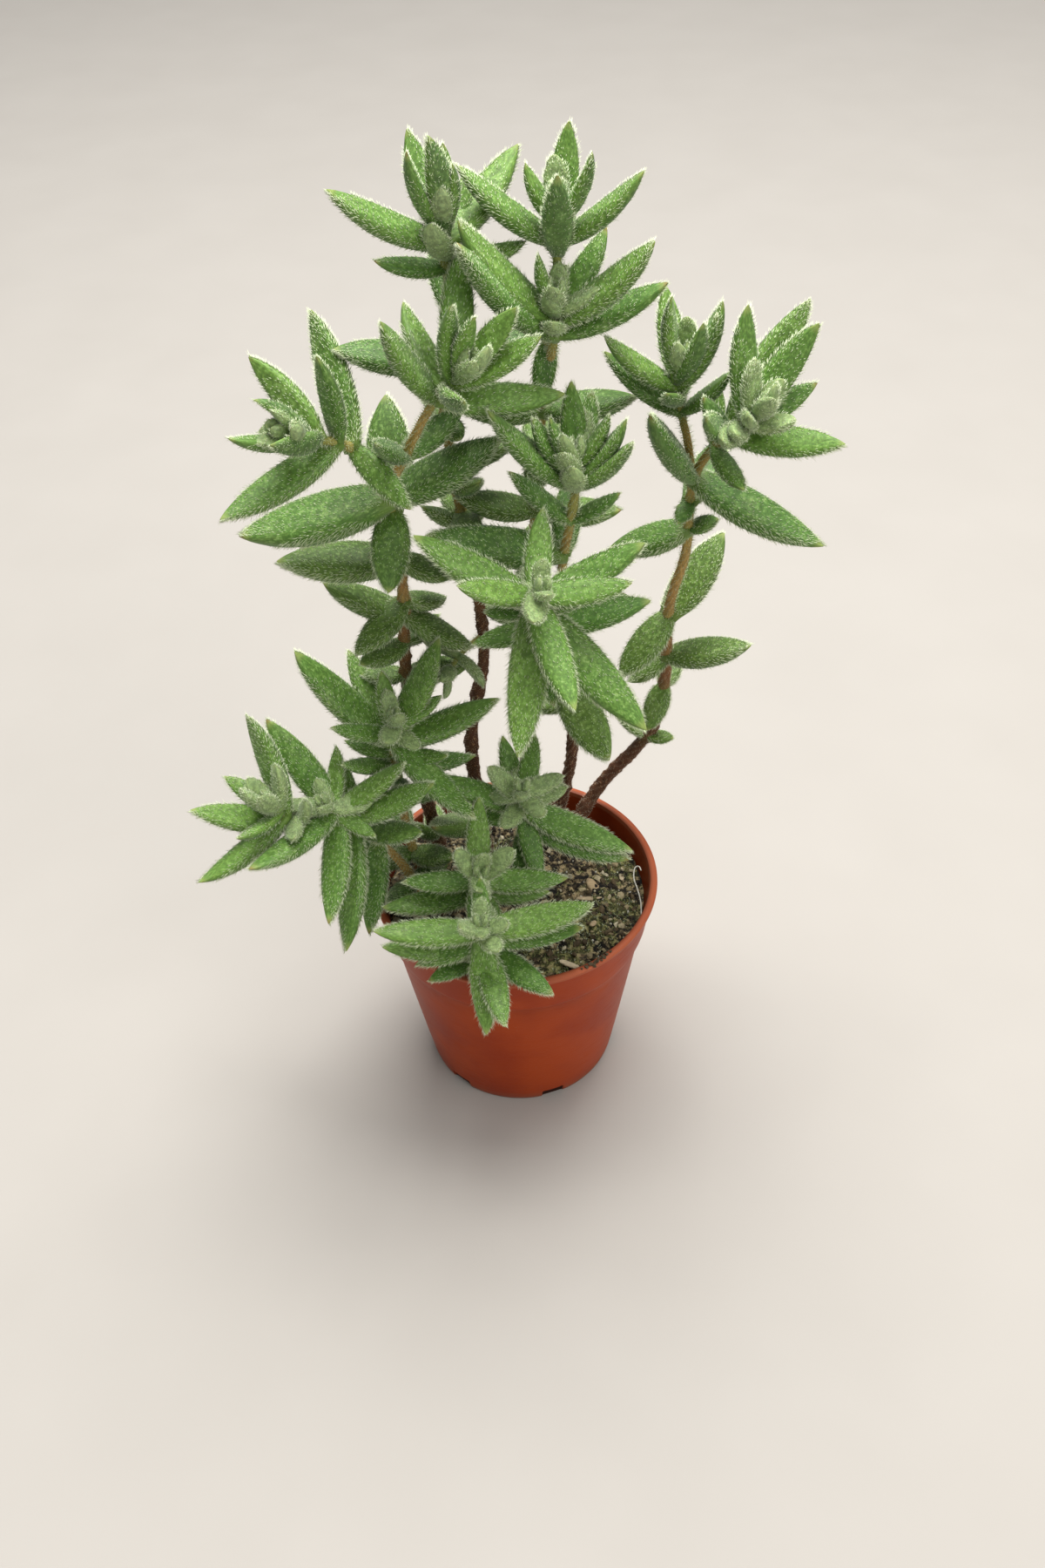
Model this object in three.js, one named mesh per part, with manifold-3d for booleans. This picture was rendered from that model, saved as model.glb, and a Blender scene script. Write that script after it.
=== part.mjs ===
// Potted crassula mesembryanthemoides: a small succulent in a 5.5 cm nursery pot.
// Millimetres, +Z up, origin at the centre of the pot's underside.
import * as THREE from 'three';
import { mergeVertices } from 'three/addons/utils/BufferGeometryUtils.js';
import Module from 'manifold-3d';

const wasm = await Module();
wasm.setup();

// Pot
const potHeight = 47;
const baseRadius = 19;
const rimRadius = 27.5;
const lipWidth = 1.5;
const lipDepth = 1.1;
const collarZ = 37.5;
const collarRadius = 25.6;
const collarStep = 0.7;
const wall = 1.2;
const floorThickness = 2.4;
const notchCount = 6;
const notchWidth = 4.5;
const notchHeight = 1.8;
const notchDepth = 2.2;
const notchTurn = -72;
const potSides = 36;
const soilSides = 24;

// Soil
const soilTop = 43.2;
const soilEdgeDrop = 0.8;
const contactGap = 0.4;
const stemFoot = 36;

// Leaves
const leafGirth = [0.5, 0.097];
const oldLeafBroader = 0.45;
const oldLeafFrom = 14;
const oldLeafOver = 20;
const youngLeafCurl = 26;
const oldLeafCurl = 8;
const curlOver = 20;
const leafSteps = 8;
const leafProfile = [[0, 0.25], [0.15, 0.7], [0.4, 1], [0.65, 0.86], [0.85, 0.5], [1, 0]];
const longSection = [[1, 0.05], [0, 0.58], [-1, 0.05], [-0.5, -0.74], [0.5, -0.74]];
const shortSection = [[1, 0], [0, 0.58], [-1, 0], [0, -0.8]];
const budLeaf = 9;
const longLeafRings = [0.2, 0.48, 0.78];
const shortLeafRings = [0.3, 0.7];
const longLeaf = 16;
const rootSink = 0.4;
const leafReach = 5;

// Stems
const pathSteps = 6;
const stemTaper = 1.8;
const stemSides = 6;
const stemStride = 6;
const stemRoom = 0.15;
const holeRoom = 0.45;
const holeSides = 8;

// Clearance kept between leaves of different shoots, from the soil and from the pot
const leafGap = 0.4;
const potGap = 0.5;
const slimmestBall = 0.35;
const farAway = -9;
const ballStops = [0.2, 0.36, 0.52, 0.68, 0.84, 1];
const ballShare = 0.9;
const leafShrinks = [1, 0.85, 0.7, 0.55];
const leafBends = [
  [0, 0], [-7, 0], [7, 0], [0, 8], [0, -8], [-14, 0], [14, 0], [-7, 12], [-7, -12],
  [7, 12], [7, -12], [0, 18], [0, -18], [-22, 0], [22, 0], [-14, 16], [-14, -16],
  [14, 16], [14, -16], [0, 28], [0, -28], [-22, 20], [-22, -20], [22, 20], [22, -20],
];

// Every shoot: its path from the soil or the parent stem to the growing tip, its
// thickness at both ends, and its leaf pairs. A pair gives the distance below the
// tip, then length and opening of one leaf, length and opening of its opposite, and
// where they need it an extra turn, one for both leaves or one for each. Pairs stand
// crosswise to each other.
const shoots = [
  {
    name: 'B', spray: 'middle', turn: -7, thick: [1.5, 0.65],
    path: [
      [4, 14, 36], [3, 14, 60], [3, 14, 80], [4, 13, 101], [6, 12, 120], [7, 10, 138], [8, 8, 151],
      [9, 6, 159], [10, 6, 169], [10, 5, 176],
    ],
    pairs: [
      [0.4, 5, 10, 5, 10], [1, 8, 32, 6, 23, 7], [2, 12.5, 27, 9.5, 30, -11], [3, 14, 34, 7, 5, -10],
      [5, 16, 49, 18, 54], [6.5, 14, 70, 15, 24], [34, 15, 75, 14, 100],
      [44, 16, 85, 8, 85], [54, 14, 85, 14, 85], [66, 12, 85, 12, 85], [78, 11, 85, 10, 85],
    ],
  },
  {
    name: 'C', spray: 'middle', turn: -12, thick: [0.9, 0.6],
    path: [
      [8, 8, 149], [9, 5, 155], [9.5, 3, 160], [9.5, 2, 164],
    ],
    pairs: [
      [0.3, 4, 15, 4, 15], [0.8, 6, 40, 6, 30], [1.5, 8, 58, 9.5, 16],
      [2.2, 14, 59, 6, 30, -30, -12], [3.5, 20, 43, 22, 42, 7], [4.5, 9, 65, 7, 72],
      [6, 18, 62, 24, 41, 18],
    ],
  },
  {
    name: 'D', spray: 'left', turn: 5, thick: [1.4, 0.6],
    path: [
      [-14, 12, 36], [-17, 11, 62], [-18, 9, 92], [-17, 8, 108], [-17, 5, 124], [-17, 3, 133],
      [-14, 1, 140], [-12, -1, 145], [-9, -3, 151], [-6, -5, 155], [-4, -7, 159],
    ],
    pairs: [
      [0.3, 4, 12, 4, 12], [1, 6, 35, 6, 25], [1.7, 13, 30, 10.5, 15, 38, -60],
      [2.5, 18, 75, 9, 12, 4, 46], [4, 15, 36, 13.5, 29, 6, -40], [6, 17, 106, 13, 45, 12, -26],
      [8.5, 19, 67, 18, 58, 2, -8], [22.5, 12, 70, 11.5, 50, -50, -56],
      [32.5, 20, 56, 25, 103, 12, 2],
      [35.5, 18.5, 34, 14.5, 106, -6, -8], [46.5, 11, 129, 20, 84, 6, 0],
      [56.5, 10, 116, 13, 109, -58, -46], [59.5, 14, 127, 15, 66, -8, -4], [66, 9, 85, 11, 82, -46],
      [73.5, 12, 85, 8, 85], [117, 8, 85, 10.5, 34, 0, -42],
    ],
  },
  {
    name: 'E', spray: 'left', turn: -40, thick: [0.85, 0.6],
    path: [
      [-17, 3, 132], [-19, 1, 139], [-22, -2, 144], [-25, -5, 147], [-28, -7, 149], [-30, -9, 151],
    ],
    pairs: [
      [0.3, 4, 12, 4, 12], [1, 6, 25, 6, 30], [2.5, 7, 40, 7, 83, 26], [4.5, 11.5, 23, 13, 12, 0, 6],
      [6.5, 12, 25, 16, 64, -4, -22], [10, 15, 51, 21, 51, 10, -4],
      [13.5, 14, 110, 21.5, 73, 0, -44],
    ],
  },
  {
    name: 'H', spray: 'right', turn: -28, thick: [1.6, 0.65],
    path: [
      [12, 16, 36], [13, 17, 44], [18, 19, 53], [27, 17, 68], [29, 14, 82], [29, 12, 93],
      [29, 10, 104], [31, 8, 116], [31, 4, 132], [34, 0, 141], [37, -4, 146], [39, -6, 150],
    ],
    pairs: [
      [0.3, 4, 12, 4, 12], [1, 6, 30, 6, 22], [1.8, 7, -4, 9, 40, 0, -18],
      [2.5, 11, 67, 6, 51, -2, -18], [3.5, 7.5, 41, 17, 51, 0, -34], [5, 18, 49, 7, 55, 2, -24],
      [6.5, 13.5, 61, 8, 60, 60], [8.5, 22.5, 63, 13, 51, 4, -54], [8.5, 17.5, 46, 10, 60, 8],
      [13, 10, 70, 12, 62, 32], [21.5, 23, 95, 20, 35, 0, 34], [27, 14, 85, 5, 95],
      [33.5, 5.5, 60, 15, 119, 16], [54.5, 17, 54, 14, 117, -18], [65, 16, 70, 9, 129, 12, 38],
      [73.5, 8, 85, 9, 123, 4], [89, 5.5, 54, 8, 85, -4],
    ],
  },
  {
    name: 'G', spray: 'right', turn: -13, thick: [0.8, 0.55],
    path: [
      [31, 5, 130], [30, 5, 138], [28, 4, 147], [28, 3, 153],
    ],
    pairs: [
      [0.3, 4, 12, 4, 12], [1, 8, 17, 6, 21, 0, -16], [1.8, 11.5, 24, 13, 21, 12, -6],
      [3, 14, 48, 12, 18, 24, 60], [4.5, 15.5, 26, 14.5, 52, 18, 8], [6.5, 12, 70, 10, 50],
      [9, 12, 60, 15, 43, -8],
    ],
  },
  {
    name: 'F', spray: 'front', turn: -5, thick: [1.4, 0.65],
    path: [
      [8, 18, 36], [9, 19, 44], [12, 17, 64], [11, 11, 91], [10, 3, 116], [11, -1, 127],
      [12, -3, 136], [12, -4, 142],
    ],
    pairs: [
      [0.3, 4, 12, 4, 12], [1, 8, 54, 7, 23, -12, -38], [1.8, 10.5, 32, 9.5, 25, 10, -6],
      [2.5, 13, 37, 8, 36, 6, -22], [4, 14, 33, 13, 34, -8, -4], [5.5, 14.5, 68, 9, 60, -8],
      [5.5, 15, 37, 20, 45, -24, -2], [10, 4, 60, 4, 60], [13, 9.5, 48, 13, 56, 4, -8],
      [21.5, 13, 90, 23, 80, 0, -84], [35, 12, 90, 12, 90], [46, 11, 90, 5, 90],
      [66.5, 8, 85, 12, 85],
    ],
  },
  {
    name: 'I', spray: 'front', turn: 3, thick: [0.95, 0.65],
    path: [
      [12, 15, 71], [11, 8, 85], [8, -2, 103], [6, -12, 118], [5, -16, 124], [6, -19, 129],
    ],
    pairs: [
      [0.3, 3, 15, 3, 15], [0.8, 5, 45, 5, 35], [1.5, 5.5, 129, 4, 129, -4, 0],
      [2, 8, 128, 8, 61, 0, -20], [3, 14.5, 74, 13.5, 75], [4, 14, 79, 18.5, 94, -8, 14],
      [5.5, 19, 70, 21, 74, 18, -28], [7, 10, 80, 23.5, 108, -14], [8, 8, 85, 8, 85],
      [9.5, 6, 65, 25, 107, 50, 36], [17, 17.5, 83, 12, 100, 4], [22, 12, 80, 12, 90],
      [46, 17.5, 84, 8, 85, -68],
    ],
  },
  {
    name: 'A', spray: 'rear', turn: 12, thick: [1.5, 0.65],
    path: [
      [-5, 12, 36], [-7, 12, 60], [-7, 12, 75], [-4, 13, 92], [-5, 13, 111], [-7, 13, 127],
      [-8, 11, 145], [-6, 7, 162], [-6, 4, 170], [-6, 2, 177],
    ],
    pairs: [
      [0.4, 5, 10, 5, 10], [1, 10, 42, 7, 15, -20, -8], [2, 10, 14, 13.5, 20],
      [3, 14.5, 50, 15, -3, 12, 36], [4.5, 18.5, 76, 19, 55, 40, -2], [6.5, 12, 60, 9, 26, -34],
      [9, 12, 65, 11, 66, 2], [17, 12, 60, 9, 90], [27, 14, 70, 17, 81, -4], [38, 13, 75, 13, 85],
      [47, 12, 80, 12, 80], [57, 11, 85, 11, 85], [67, 10, 85, 10, 85],
      [128, 8, 85, 17, 55, 0, -48],
    ],
  },
  {
    name: 'T', spray: 'rear', turn: 0, thick: [0.55, 0.45],
    path: [
      [-4, 13, 96], [-8, 9, 95], [-11, 6, 92],
    ],
    pairs: [
      [0.5, 4, 30, 4, 30], [2, 5, 60, 5, 60], [4.5, 7, 80, 7, 80],
    ],
  },
  {
    name: 'J', spray: 'small_left', turn: 20, thick: [1.2, 0.6],
    path: [
      [-17, 5, 36], [-20, 5, 52], [-21, 3, 69], [-21, 1, 78], [-20, -1, 89],
    ],
    pairs: [
      [0.3, 3, 12, 3, 12], [0.8, 6, 40, 6, 30], [1.6, 10, 66, 7, 68, 2, 58],
      [2.5, 10.5, 40, 6, 95, 2, 28], [4, 20, 49, 12, 72, 26, -8], [5.5, 18, 65, 20.5, 111, 12, 30],
      [6.5, 20.5, 81, 24, 56, 2, -46], [10, 9.5, 93, 11, 70, 50], [13, 15, 99, 12, 58, -10, 6],
      [18, 13, 90, 8, 60], [24, 12, 90, 12, 90], [33, 8, 85, 12, 82, 0, -78],
      [40, 12, 70, 12.5, 81, -60, 18],
    ],
  },
  {
    name: 'K', spray: 'low_left', turn: 8, thick: [1.1, 0.6],
    path: [
      [-17, 0, 36], [-21, 0, 50], [-26, -3, 62], [-30, -6, 69], [-33, -8, 76],
    ],
    pairs: [
      [0.3, 3, 15, 3, 15], [0.8, 5, 50, 5, 40], [1.5, 8, 105, 8, 52, -6, -2],
      [2, 11.5, 74, 9.5, 127, -22, 46], [3, 16.5, 96, 20.5, 63, 8, 46], [4, 21, 47, 20, 108, 18, -20],
      [6, 20, 92, 9, 60, -6], [9, 12, 60, 23, 107, -20], [13, 15.5, 81, 15, 75, -24],
      [18, 12, 70, 17.5, 105, -22], [33, 8, 85, 11, 66, 0, 66],
    ],
  },
  {
    name: 'K2', spray: 'low_left', turn: 32, thick: [0.85, 0.55],
    path: [
      [-27, -4, 64], [-33, -7, 68], [-39, -10, 74], [-42, -11, 79],
    ],
    pairs: [
      [0.3, 4, 15, 4, 15], [1, 7, 35, 7, 28], [1.6, 9, 40, 9, 12, 2], [2.5, 12, 55, 11, 59, 18, -58],
      [4, 20, 38, 19, 79, 36, 2], [5.5, 8, 70, 8, 70], [7, 8, 60, 19, 30, -30],
    ],
  },
  {
    name: 'M', spray: 'low_front', turn: 0, thick: [1.1, 0.6],
    path: [
      [-6, -17, 36], [-6, -20, 46], [-6, -25, 57], [-6, -28, 65],
    ],
    pairs: [
      [0.3, 3, 20, 3, 20], [0.7, 5, 50, 5, 50], [1.5, 6, 56, 8, 36, -16, 40],
      [2.5, 8, 127, 7.5, 63, -12, 26], [3.5, 20.5, 78, 19, 88, 6, 0], [5, 10, 60, 18.5, 127],
      [7, 18, 82, 14, 117, 0, 12], [10, 10, 85, 17, 81, 12], [13, 16.5, 76, 18.5, 77, -40, 2],
      [16, 10, 85, 12, 77, -60],
    ],
  },
  {
    name: 'M2', spray: 'low_back', turn: 0, thick: [1.0, 0.6],
    path: [
      [-7, -8, 36], [-7, -11, 48], [-7, -14, 59], [-6, -17, 66],
    ],
    pairs: [
      [0.3, 3, 20, 3, 20], [0.8, 6, 19, 6, 53, -6, -10], [1.6, 9, 44, 8, 45, 28, -28],
      [2.5, 14.5, 79, 7, 60], [4, 16.5, 93, 14, 115, 2, -4], [7, 10, 60, 12, 100],
      [10, 15, 115, 17.5, 95, 12, 6],
    ],
  },
  {
    name: 'L', spray: 'low_middle', turn: -5, thick: [1.2, 0.7],
    path: [
      [2, 3, 36], [2, 2, 50], [2, 0, 58], [2, -3, 69], [2, -5, 75],
    ],
    pairs: [
      [0.3, 3, 20, 3, 20], [0.8, 5, 117, 5, 45, -34, -2], [1.6, 8, 76, 6.5, 116, 20, 0],
      [2.5, 7, 107, 7, 73, 10, 38], [3.5, 8.5, 72, 9, 51, 4, -24], [5, 12.5, 63, 8, 75, -10, -24],
      [7, 22, 108, 17, 61, -14, -6], [9, 14.5, 62, 13.5, 110, 20, 18], [12, 21, 98, 12, 72, -18, 4],
      [15, 8, 70, 12, 112],
    ],
  },
];

const radians = Math.PI / 180;

// Smooth line through the points of a path
function smoothPath(path) {
  const points = path.map((p) => new THREE.Vector3(...p));
  const last = points.length - 1;
  points.unshift(points[0].clone().multiplyScalar(2).sub(points[1]));
  points.push(points[last + 1].clone().multiplyScalar(2).sub(points[last]));
  const line = [];
  for (let i = 1; i < points.length - 2; i++) {
    for (let k = 0; k < pathSteps; k++) {
      const t = k / pathSteps;
      const point = new THREE.Vector3();
      point.addScaledVector(points[i - 1], 0.5 * (-t + 2 * t * t - t * t * t));
      point.addScaledVector(points[i], 0.5 * (2 - 5 * t * t + 3 * t * t * t));
      point.addScaledVector(points[i + 1], 0.5 * (t + 4 * t * t - 3 * t * t * t));
      point.addScaledVector(points[i + 2], 0.5 * (-t * t + t * t * t));
      line.push(point);
    }
  }
  line.push(points[last + 1].clone());
  return line;
}

// Place and direction on a line at a distance below its end
function stationOn(line, below) {
  const lengths = line.slice(1).map((p, i) => p.distanceTo(line[i]));
  let left = lengths.reduce((a, b) => a + b, 0) - below;
  for (let i = 0; i < lengths.length; i++) {
    if (left <= lengths[i] || i === lengths.length - 1) {
      const along = line[i + 1].clone().sub(line[i]).normalize();
      const step = Math.max(0, Math.min(lengths[i], left));
      return { point: line[i].clone().addScaledVector(along, step), along, below };
    }
    left -= lengths[i];
  }
  return null;
}

// Middle line of a leaf, with the direction its upper face looks in at every point.
// Young leaves curl in towards the tip of the shoot, older ones are nearly straight.
function leafLine(place, turn, length, opening) {
  const { point, along, below } = place;
  const curl = youngLeafCurl + (oldLeafCurl - youngLeafCurl) * Math.min(1, below / curlOver);
  const across = new THREE.Vector3(1, 0, 0).addScaledVector(along, -along.x).normalize();
  const other = along.clone().cross(across);
  const outward = across.multiplyScalar(Math.cos(turn * radians));
  outward.addScaledVector(other, Math.sin(turn * radians));
  const spots = [point.clone()];
  const faces = [];
  for (let k = 0; k < leafSteps; k++) {
    const angle = (opening + curl * 0.4 - curl * (k + 0.5) / leafSteps) * radians;
    const next = spots[k].clone();
    next.addScaledVector(along, length / leafSteps * Math.cos(angle));
    next.addScaledVector(outward, length / leafSteps * Math.sin(angle));
    spots.push(next);
    const face = along.clone().multiplyScalar(Math.sin(angle));
    faces.push(face.addScaledVector(outward, -Math.cos(angle)));
  }
  faces.push(faces[leafSteps - 1].clone());
  return { spots, faces, outward, along };
}

// Stems stay slender for most of their height and thicken towards the foot
function stemRadius([foot, tip], share) {
  return tip + (foot - tip) * (1 - share) ** stemTaper;
}

// Share of the full leaf width at a share of its length
function widthAt(t) {
  for (let i = 1; i < leafProfile.length; i++) {
    const [from, low] = leafProfile[i - 1];
    const [to, high] = leafProfile[i];
    if (t <= to) {
      return low + (high - low) * (t - from) / (to - from);
    }
  }
  return 0;
}

function pointAt(spots, t) {
  const k = Math.min(Math.floor(t * leafSteps), leafSteps - 1);
  return spots[k].clone().lerp(spots[k + 1], t * leafSteps - k);
}

// Row of balls that stands for a leaf while looking for free room
function ballsOf(spots, halfWidth) {
  return ballStops.map((t) => ({
    point: pointAt(spots, t),
    radius: Math.max(slimmestBall, ballShare * halfWidth * widthAt(t)),
  }));
}

// How far a ball reaches into the pot wall or the soil, negative when clear
function inPot(ball) {
  const away = Math.hypot(ball.point.x, ball.point.y);
  const low = ball.point.z - ball.radius;
  const pastInside = away + ball.radius - (rimRadius - lipWidth - potGap);
  const pastOutside = rimRadius + potGap - away + ball.radius;
  const inWall = low < potHeight + potGap ? Math.min(pastInside, pastOutside) : farAway;
  const inSoil = away < rimRadius ? soilTop + leafGap - low : farAway;
  return Math.max(inWall, inSoil);
}

function inOthers(balls, others) {
  let worst = farAway;
  for (const ball of balls) {
    worst = Math.max(worst, inPot(ball));
    for (const other of others) {
      const reach = ball.radius + other.radius + leafGap;
      worst = Math.max(worst, reach - ball.point.distanceTo(other.point));
    }
  }
  return worst;
}

// Leaves of every shoot, each bent or shortened until it is clear of the other shoots.
// Leaves up to the size of a bud leaf stay folded in the crowns and are not solids.
function growLeaves() {
  const taken = [];
  const lines = {};
  for (const shoot of shoots) {
    const line = smoothPath(shoot.path);
    lines[shoot.name] = line;
    line.forEach((point, k) => {
      const radius = stemRadius(shoot.thick, k / (line.length - 1)) + stemRoom;
      taken.push({ point, radius, owner: shoot.name });
    });
  }
  const leaves = [];
  for (const shoot of shoots) {
    shoot.pairs.forEach((pair, row) => {
      const place = stationOn(lines[shoot.name], pair[0]);
      const age = Math.min(1, Math.max(0, (pair[0] - oldLeafFrom) / oldLeafOver));
      const extras = pair.slice(5);
      for (const side of [0, 1]) {
        const full = pair[1 + 2 * side];
        const opening = pair[2 + 2 * side];
        if (full <= budLeaf) {
          continue;
        }
        const extra = (side === 0 ? extras[0] : extras.at(-1)) || 0;
        const turn = shoot.turn + extra + 90 * (row % 2) + 180 * side;
        const near = taken.filter((ball) => ball.owner !== shoot.name
          && ball.point.distanceTo(place.point) < full + leafReach);
        const leaf = roomFor(place, turn, full, opening, age, near);
        if (leaf) {
          ballsOf(leaf.spots, leaf.halfWidth).forEach((ball) => {
            taken.push({ ...ball, owner: shoot.name });
          });
          leaves.push({ ...leaf, spray: shoot.spray });
        }
      }
    });
  }
  return leaves;
}

function roomFor(place, turn, full, opening, age, near) {
  for (const shrink of leafShrinks) {
    for (const [more, aside] of leafBends) {
      const length = full * shrink;
      const line = leafLine(place, turn + aside, length, opening + more);
      const halfWidth = (leafGirth[0] + leafGirth[1] * length) * (1 + oldLeafBroader * age);
      if (inOthers(ballsOf(line.spots, halfWidth), near) <= 0) {
        return { ...line, length, halfWidth };
      }
    }
  }
  return null;
}

// Closed skin over rings of points, each ring with the same count, ending in a flat
// cap at the start and in a point or a flat cap at the end
function skin(rings, tip) {
  const count = rings[0].length;
  const spots = rings.flat();
  const faces = [];
  for (let r = 0; r + 1 < rings.length; r++) {
    for (let s = 0; s < count; s++) {
      const a = r * count + s;
      const b = r * count + (s + 1) % count;
      faces.push(a, b, b + count, a, b + count, a + count);
    }
  }
  for (let s = 1; s + 1 < count; s++) {
    faces.push(0, s + 1, s);
  }
  const top = (rings.length - 1) * count;
  if (tip) {
    spots.push(tip);
    for (let s = 0; s < count; s++) {
      faces.push(top + s, top + (s + 1) % count, spots.length - 1);
    }
  } else {
    for (let s = 1; s + 1 < count; s++) {
      faces.push(top, top + s, top + s + 1);
    }
  }
  return new wasm.Manifold(new wasm.Mesh({
    numProp: 3,
    vertProperties: new Float32Array(spots.flatMap((p) => [p.x, p.y, p.z])),
    triVerts: new Uint32Array(faces),
  }));
}

function leafSolid(leaf) {
  const sideways = leaf.along.clone().cross(leaf.outward);
  const section = leaf.length < longLeaf ? shortSection : longSection;
  const ringAt = (t, share) => {
    const k = Math.min(Math.floor(t * leafSteps), leafSteps - 1);
    const middle = pointAt(leaf.spots, t);
    if (t === 0) {
      middle.addScaledVector(leaf.spots[1].clone().sub(leaf.spots[0]).normalize(), -rootSink);
    }
    return section.map(([x, y]) => middle.clone()
      .addScaledVector(sideways, x * leaf.halfWidth * share)
      .addScaledVector(leaf.faces[k], y * leaf.halfWidth * share));
  };
  const stops = leaf.length < longLeaf ? shortLeafRings : longLeafRings;
  const rings = [ringAt(0, widthAt(0)), ...stops.map((t) => ringAt(t, widthAt(t)))];
  return skin(rings, leaf.spots[leafSteps]);
}

// Round tube along a line, with the radius given by the share of the way along it
function tubeSolid(line, radiusAt, stride, sides) {
  const picks = line.filter((p, i) => i % stride === 0 || i === line.length - 1);
  const rings = picks.map((point, i) => {
    const before = picks[Math.max(0, i - 1)];
    const after = picks[Math.min(picks.length - 1, i + 1)];
    const along = after.clone().sub(before).normalize();
    const across = new THREE.Vector3(1, 0, 0).addScaledVector(along, -along.x).normalize();
    const other = along.clone().cross(across);
    const radius = radiusAt(i / (picks.length - 1));
    return Array.from({ length: sides }, (_, s) => {
      const angle = 2 * Math.PI * s / sides;
      return point.clone()
        .addScaledVector(across, radius * Math.cos(angle))
        .addScaledVector(other, radius * Math.sin(angle));
    });
  });
  return skin(rings, null);
}

// Solid from a closed three geometry
function solidOf(geometry) {
  geometry.deleteAttribute('normal');
  geometry.deleteAttribute('uv');
  const merged = mergeVertices(geometry, 0.0001);
  return new wasm.Manifold(new wasm.Mesh({
    numProp: 3,
    vertProperties: new Float32Array(merged.attributes.position.array),
    triVerts: new Uint32Array(merged.index.array),
  }));
}

function latheSolid(profile, sides) {
  const points = profile.map(([x, y]) => new THREE.Vector2(x, y));
  return solidOf(new THREE.LatheGeometry(points, sides).rotateX(Math.PI / 2));
}

const part = new THREE.Group();
part.name = 'potted_crassula';

function addPart(solid, name, color, roughness) {
  const mesh = solid.getMesh();
  const geometry = new THREE.BufferGeometry();
  geometry.setAttribute('position', new THREE.BufferAttribute(mesh.vertProperties, 3));
  geometry.setIndex(new THREE.BufferAttribute(mesh.triVerts, 1));
  geometry.computeVertexNormals();
  const material = new THREE.MeshStandardMaterial({ color, roughness });
  material.name = `${name}_look`;
  const node = new THREE.Mesh(geometry, material);
  node.name = name;
  part.add(node);
}

// Pot: floor, tapered wall, collar and lip, with notches under the edge of the base
const lipZ = potHeight - lipDepth;
const innerRim = rimRadius - lipWidth;
const potProfile = [
  [0, 0],
  [baseRadius, 0],
  [collarRadius - collarStep, collarZ - collarStep],
  [collarRadius, collarZ],
  [rimRadius - 0.6, lipZ],
  [rimRadius, lipZ + 0.3],
  [rimRadius, potHeight],
  [innerRim, potHeight],
  [collarRadius - wall - 0.6, collarZ - 1],
  [baseRadius - wall + 0.3, floorThickness],
  [0, floorThickness],
];
let pot = latheSolid(potProfile, potSides);
for (let i = 0; i < notchCount; i++) {
  const notch = new THREE.BoxGeometry(2 * notchDepth, notchWidth, 2 * notchHeight);
  notch.translate(baseRadius, 0, 0);
  notch.rotateZ((notchTurn + 360 * i / notchCount) * radians);
  pot = pot.subtract(solidOf(notch));
}
addPart(pot, 'pot', 0x9c4a2c, 0.5);

// Soil: fills the pot to a few millimetres under the rim, a plain hole at each stem
const soilFoot = floorThickness + contactGap;
const slopeLow = (collarRadius - baseRadius - 0.9) / (collarZ - 1 - floorThickness);
const slopeHigh = (innerRim - collarRadius + wall + 0.6) / (potHeight - collarZ + 1);
const soilEdge = soilTop - soilEdgeDrop;
const soilProfile = [
  [0, soilFoot],
  [baseRadius - wall + slopeLow * contactGap - 0.05, soilFoot],
  [collarRadius - wall - 0.6 - contactGap, collarZ - 1],
  [collarRadius - wall - 0.6 + slopeHigh * (soilEdge - collarZ + 1) - contactGap, soilEdge],
  [20, soilTop - 0.3],
  [11, soilTop - 0.1],
  [0, soilTop],
];
let soil = latheSolid(soilProfile, soilSides);
for (const shoot of shoots) {
  if (shoot.path[0][2] === stemFoot) {
    const [x, y, z] = shoot.path[0];
    const line = smoothPath(shoot.path).slice(0, 2 * pathSteps + 1);
    const down = line[0].clone().sub(line[1]).normalize();
    line[0] = new THREE.Vector3(x, y, z).addScaledVector(down, 0.5);
    const radius = shoot.thick[0] + holeRoom;
    soil = soil.subtract(tubeSolid(line, () => radius, stemStride, holeSides));
  }
}
addPart(soil, 'soil', 0x2e241b, 0.95);

// Leafy stems: each spray is one piece, stems and leaves grown together
const sprayNames = [...new Set(shoots.map((shoot) => shoot.spray))];
const leaves = growLeaves();
for (const name of sprayNames) {
  const solids = [];
  for (const shoot of shoots.filter((s) => s.spray === name)) {
    const line = smoothPath(shoot.path);
    solids.push(tubeSolid(line, (share) => stemRadius(shoot.thick, share), stemStride, stemSides));
  }
  for (const leaf of leaves.filter((l) => l.spray === name)) {
    solids.push(leafSolid(leaf));
  }
  const grown = solids.reduce((whole, next) => whole.add(next));
  addPart(grown, `spray_${name}`, 0x6f9a55, 0.75);
}

export default part;
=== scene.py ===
import math

import bpy
import numpy as np
from mathutils import Matrix, Vector, noise


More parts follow.
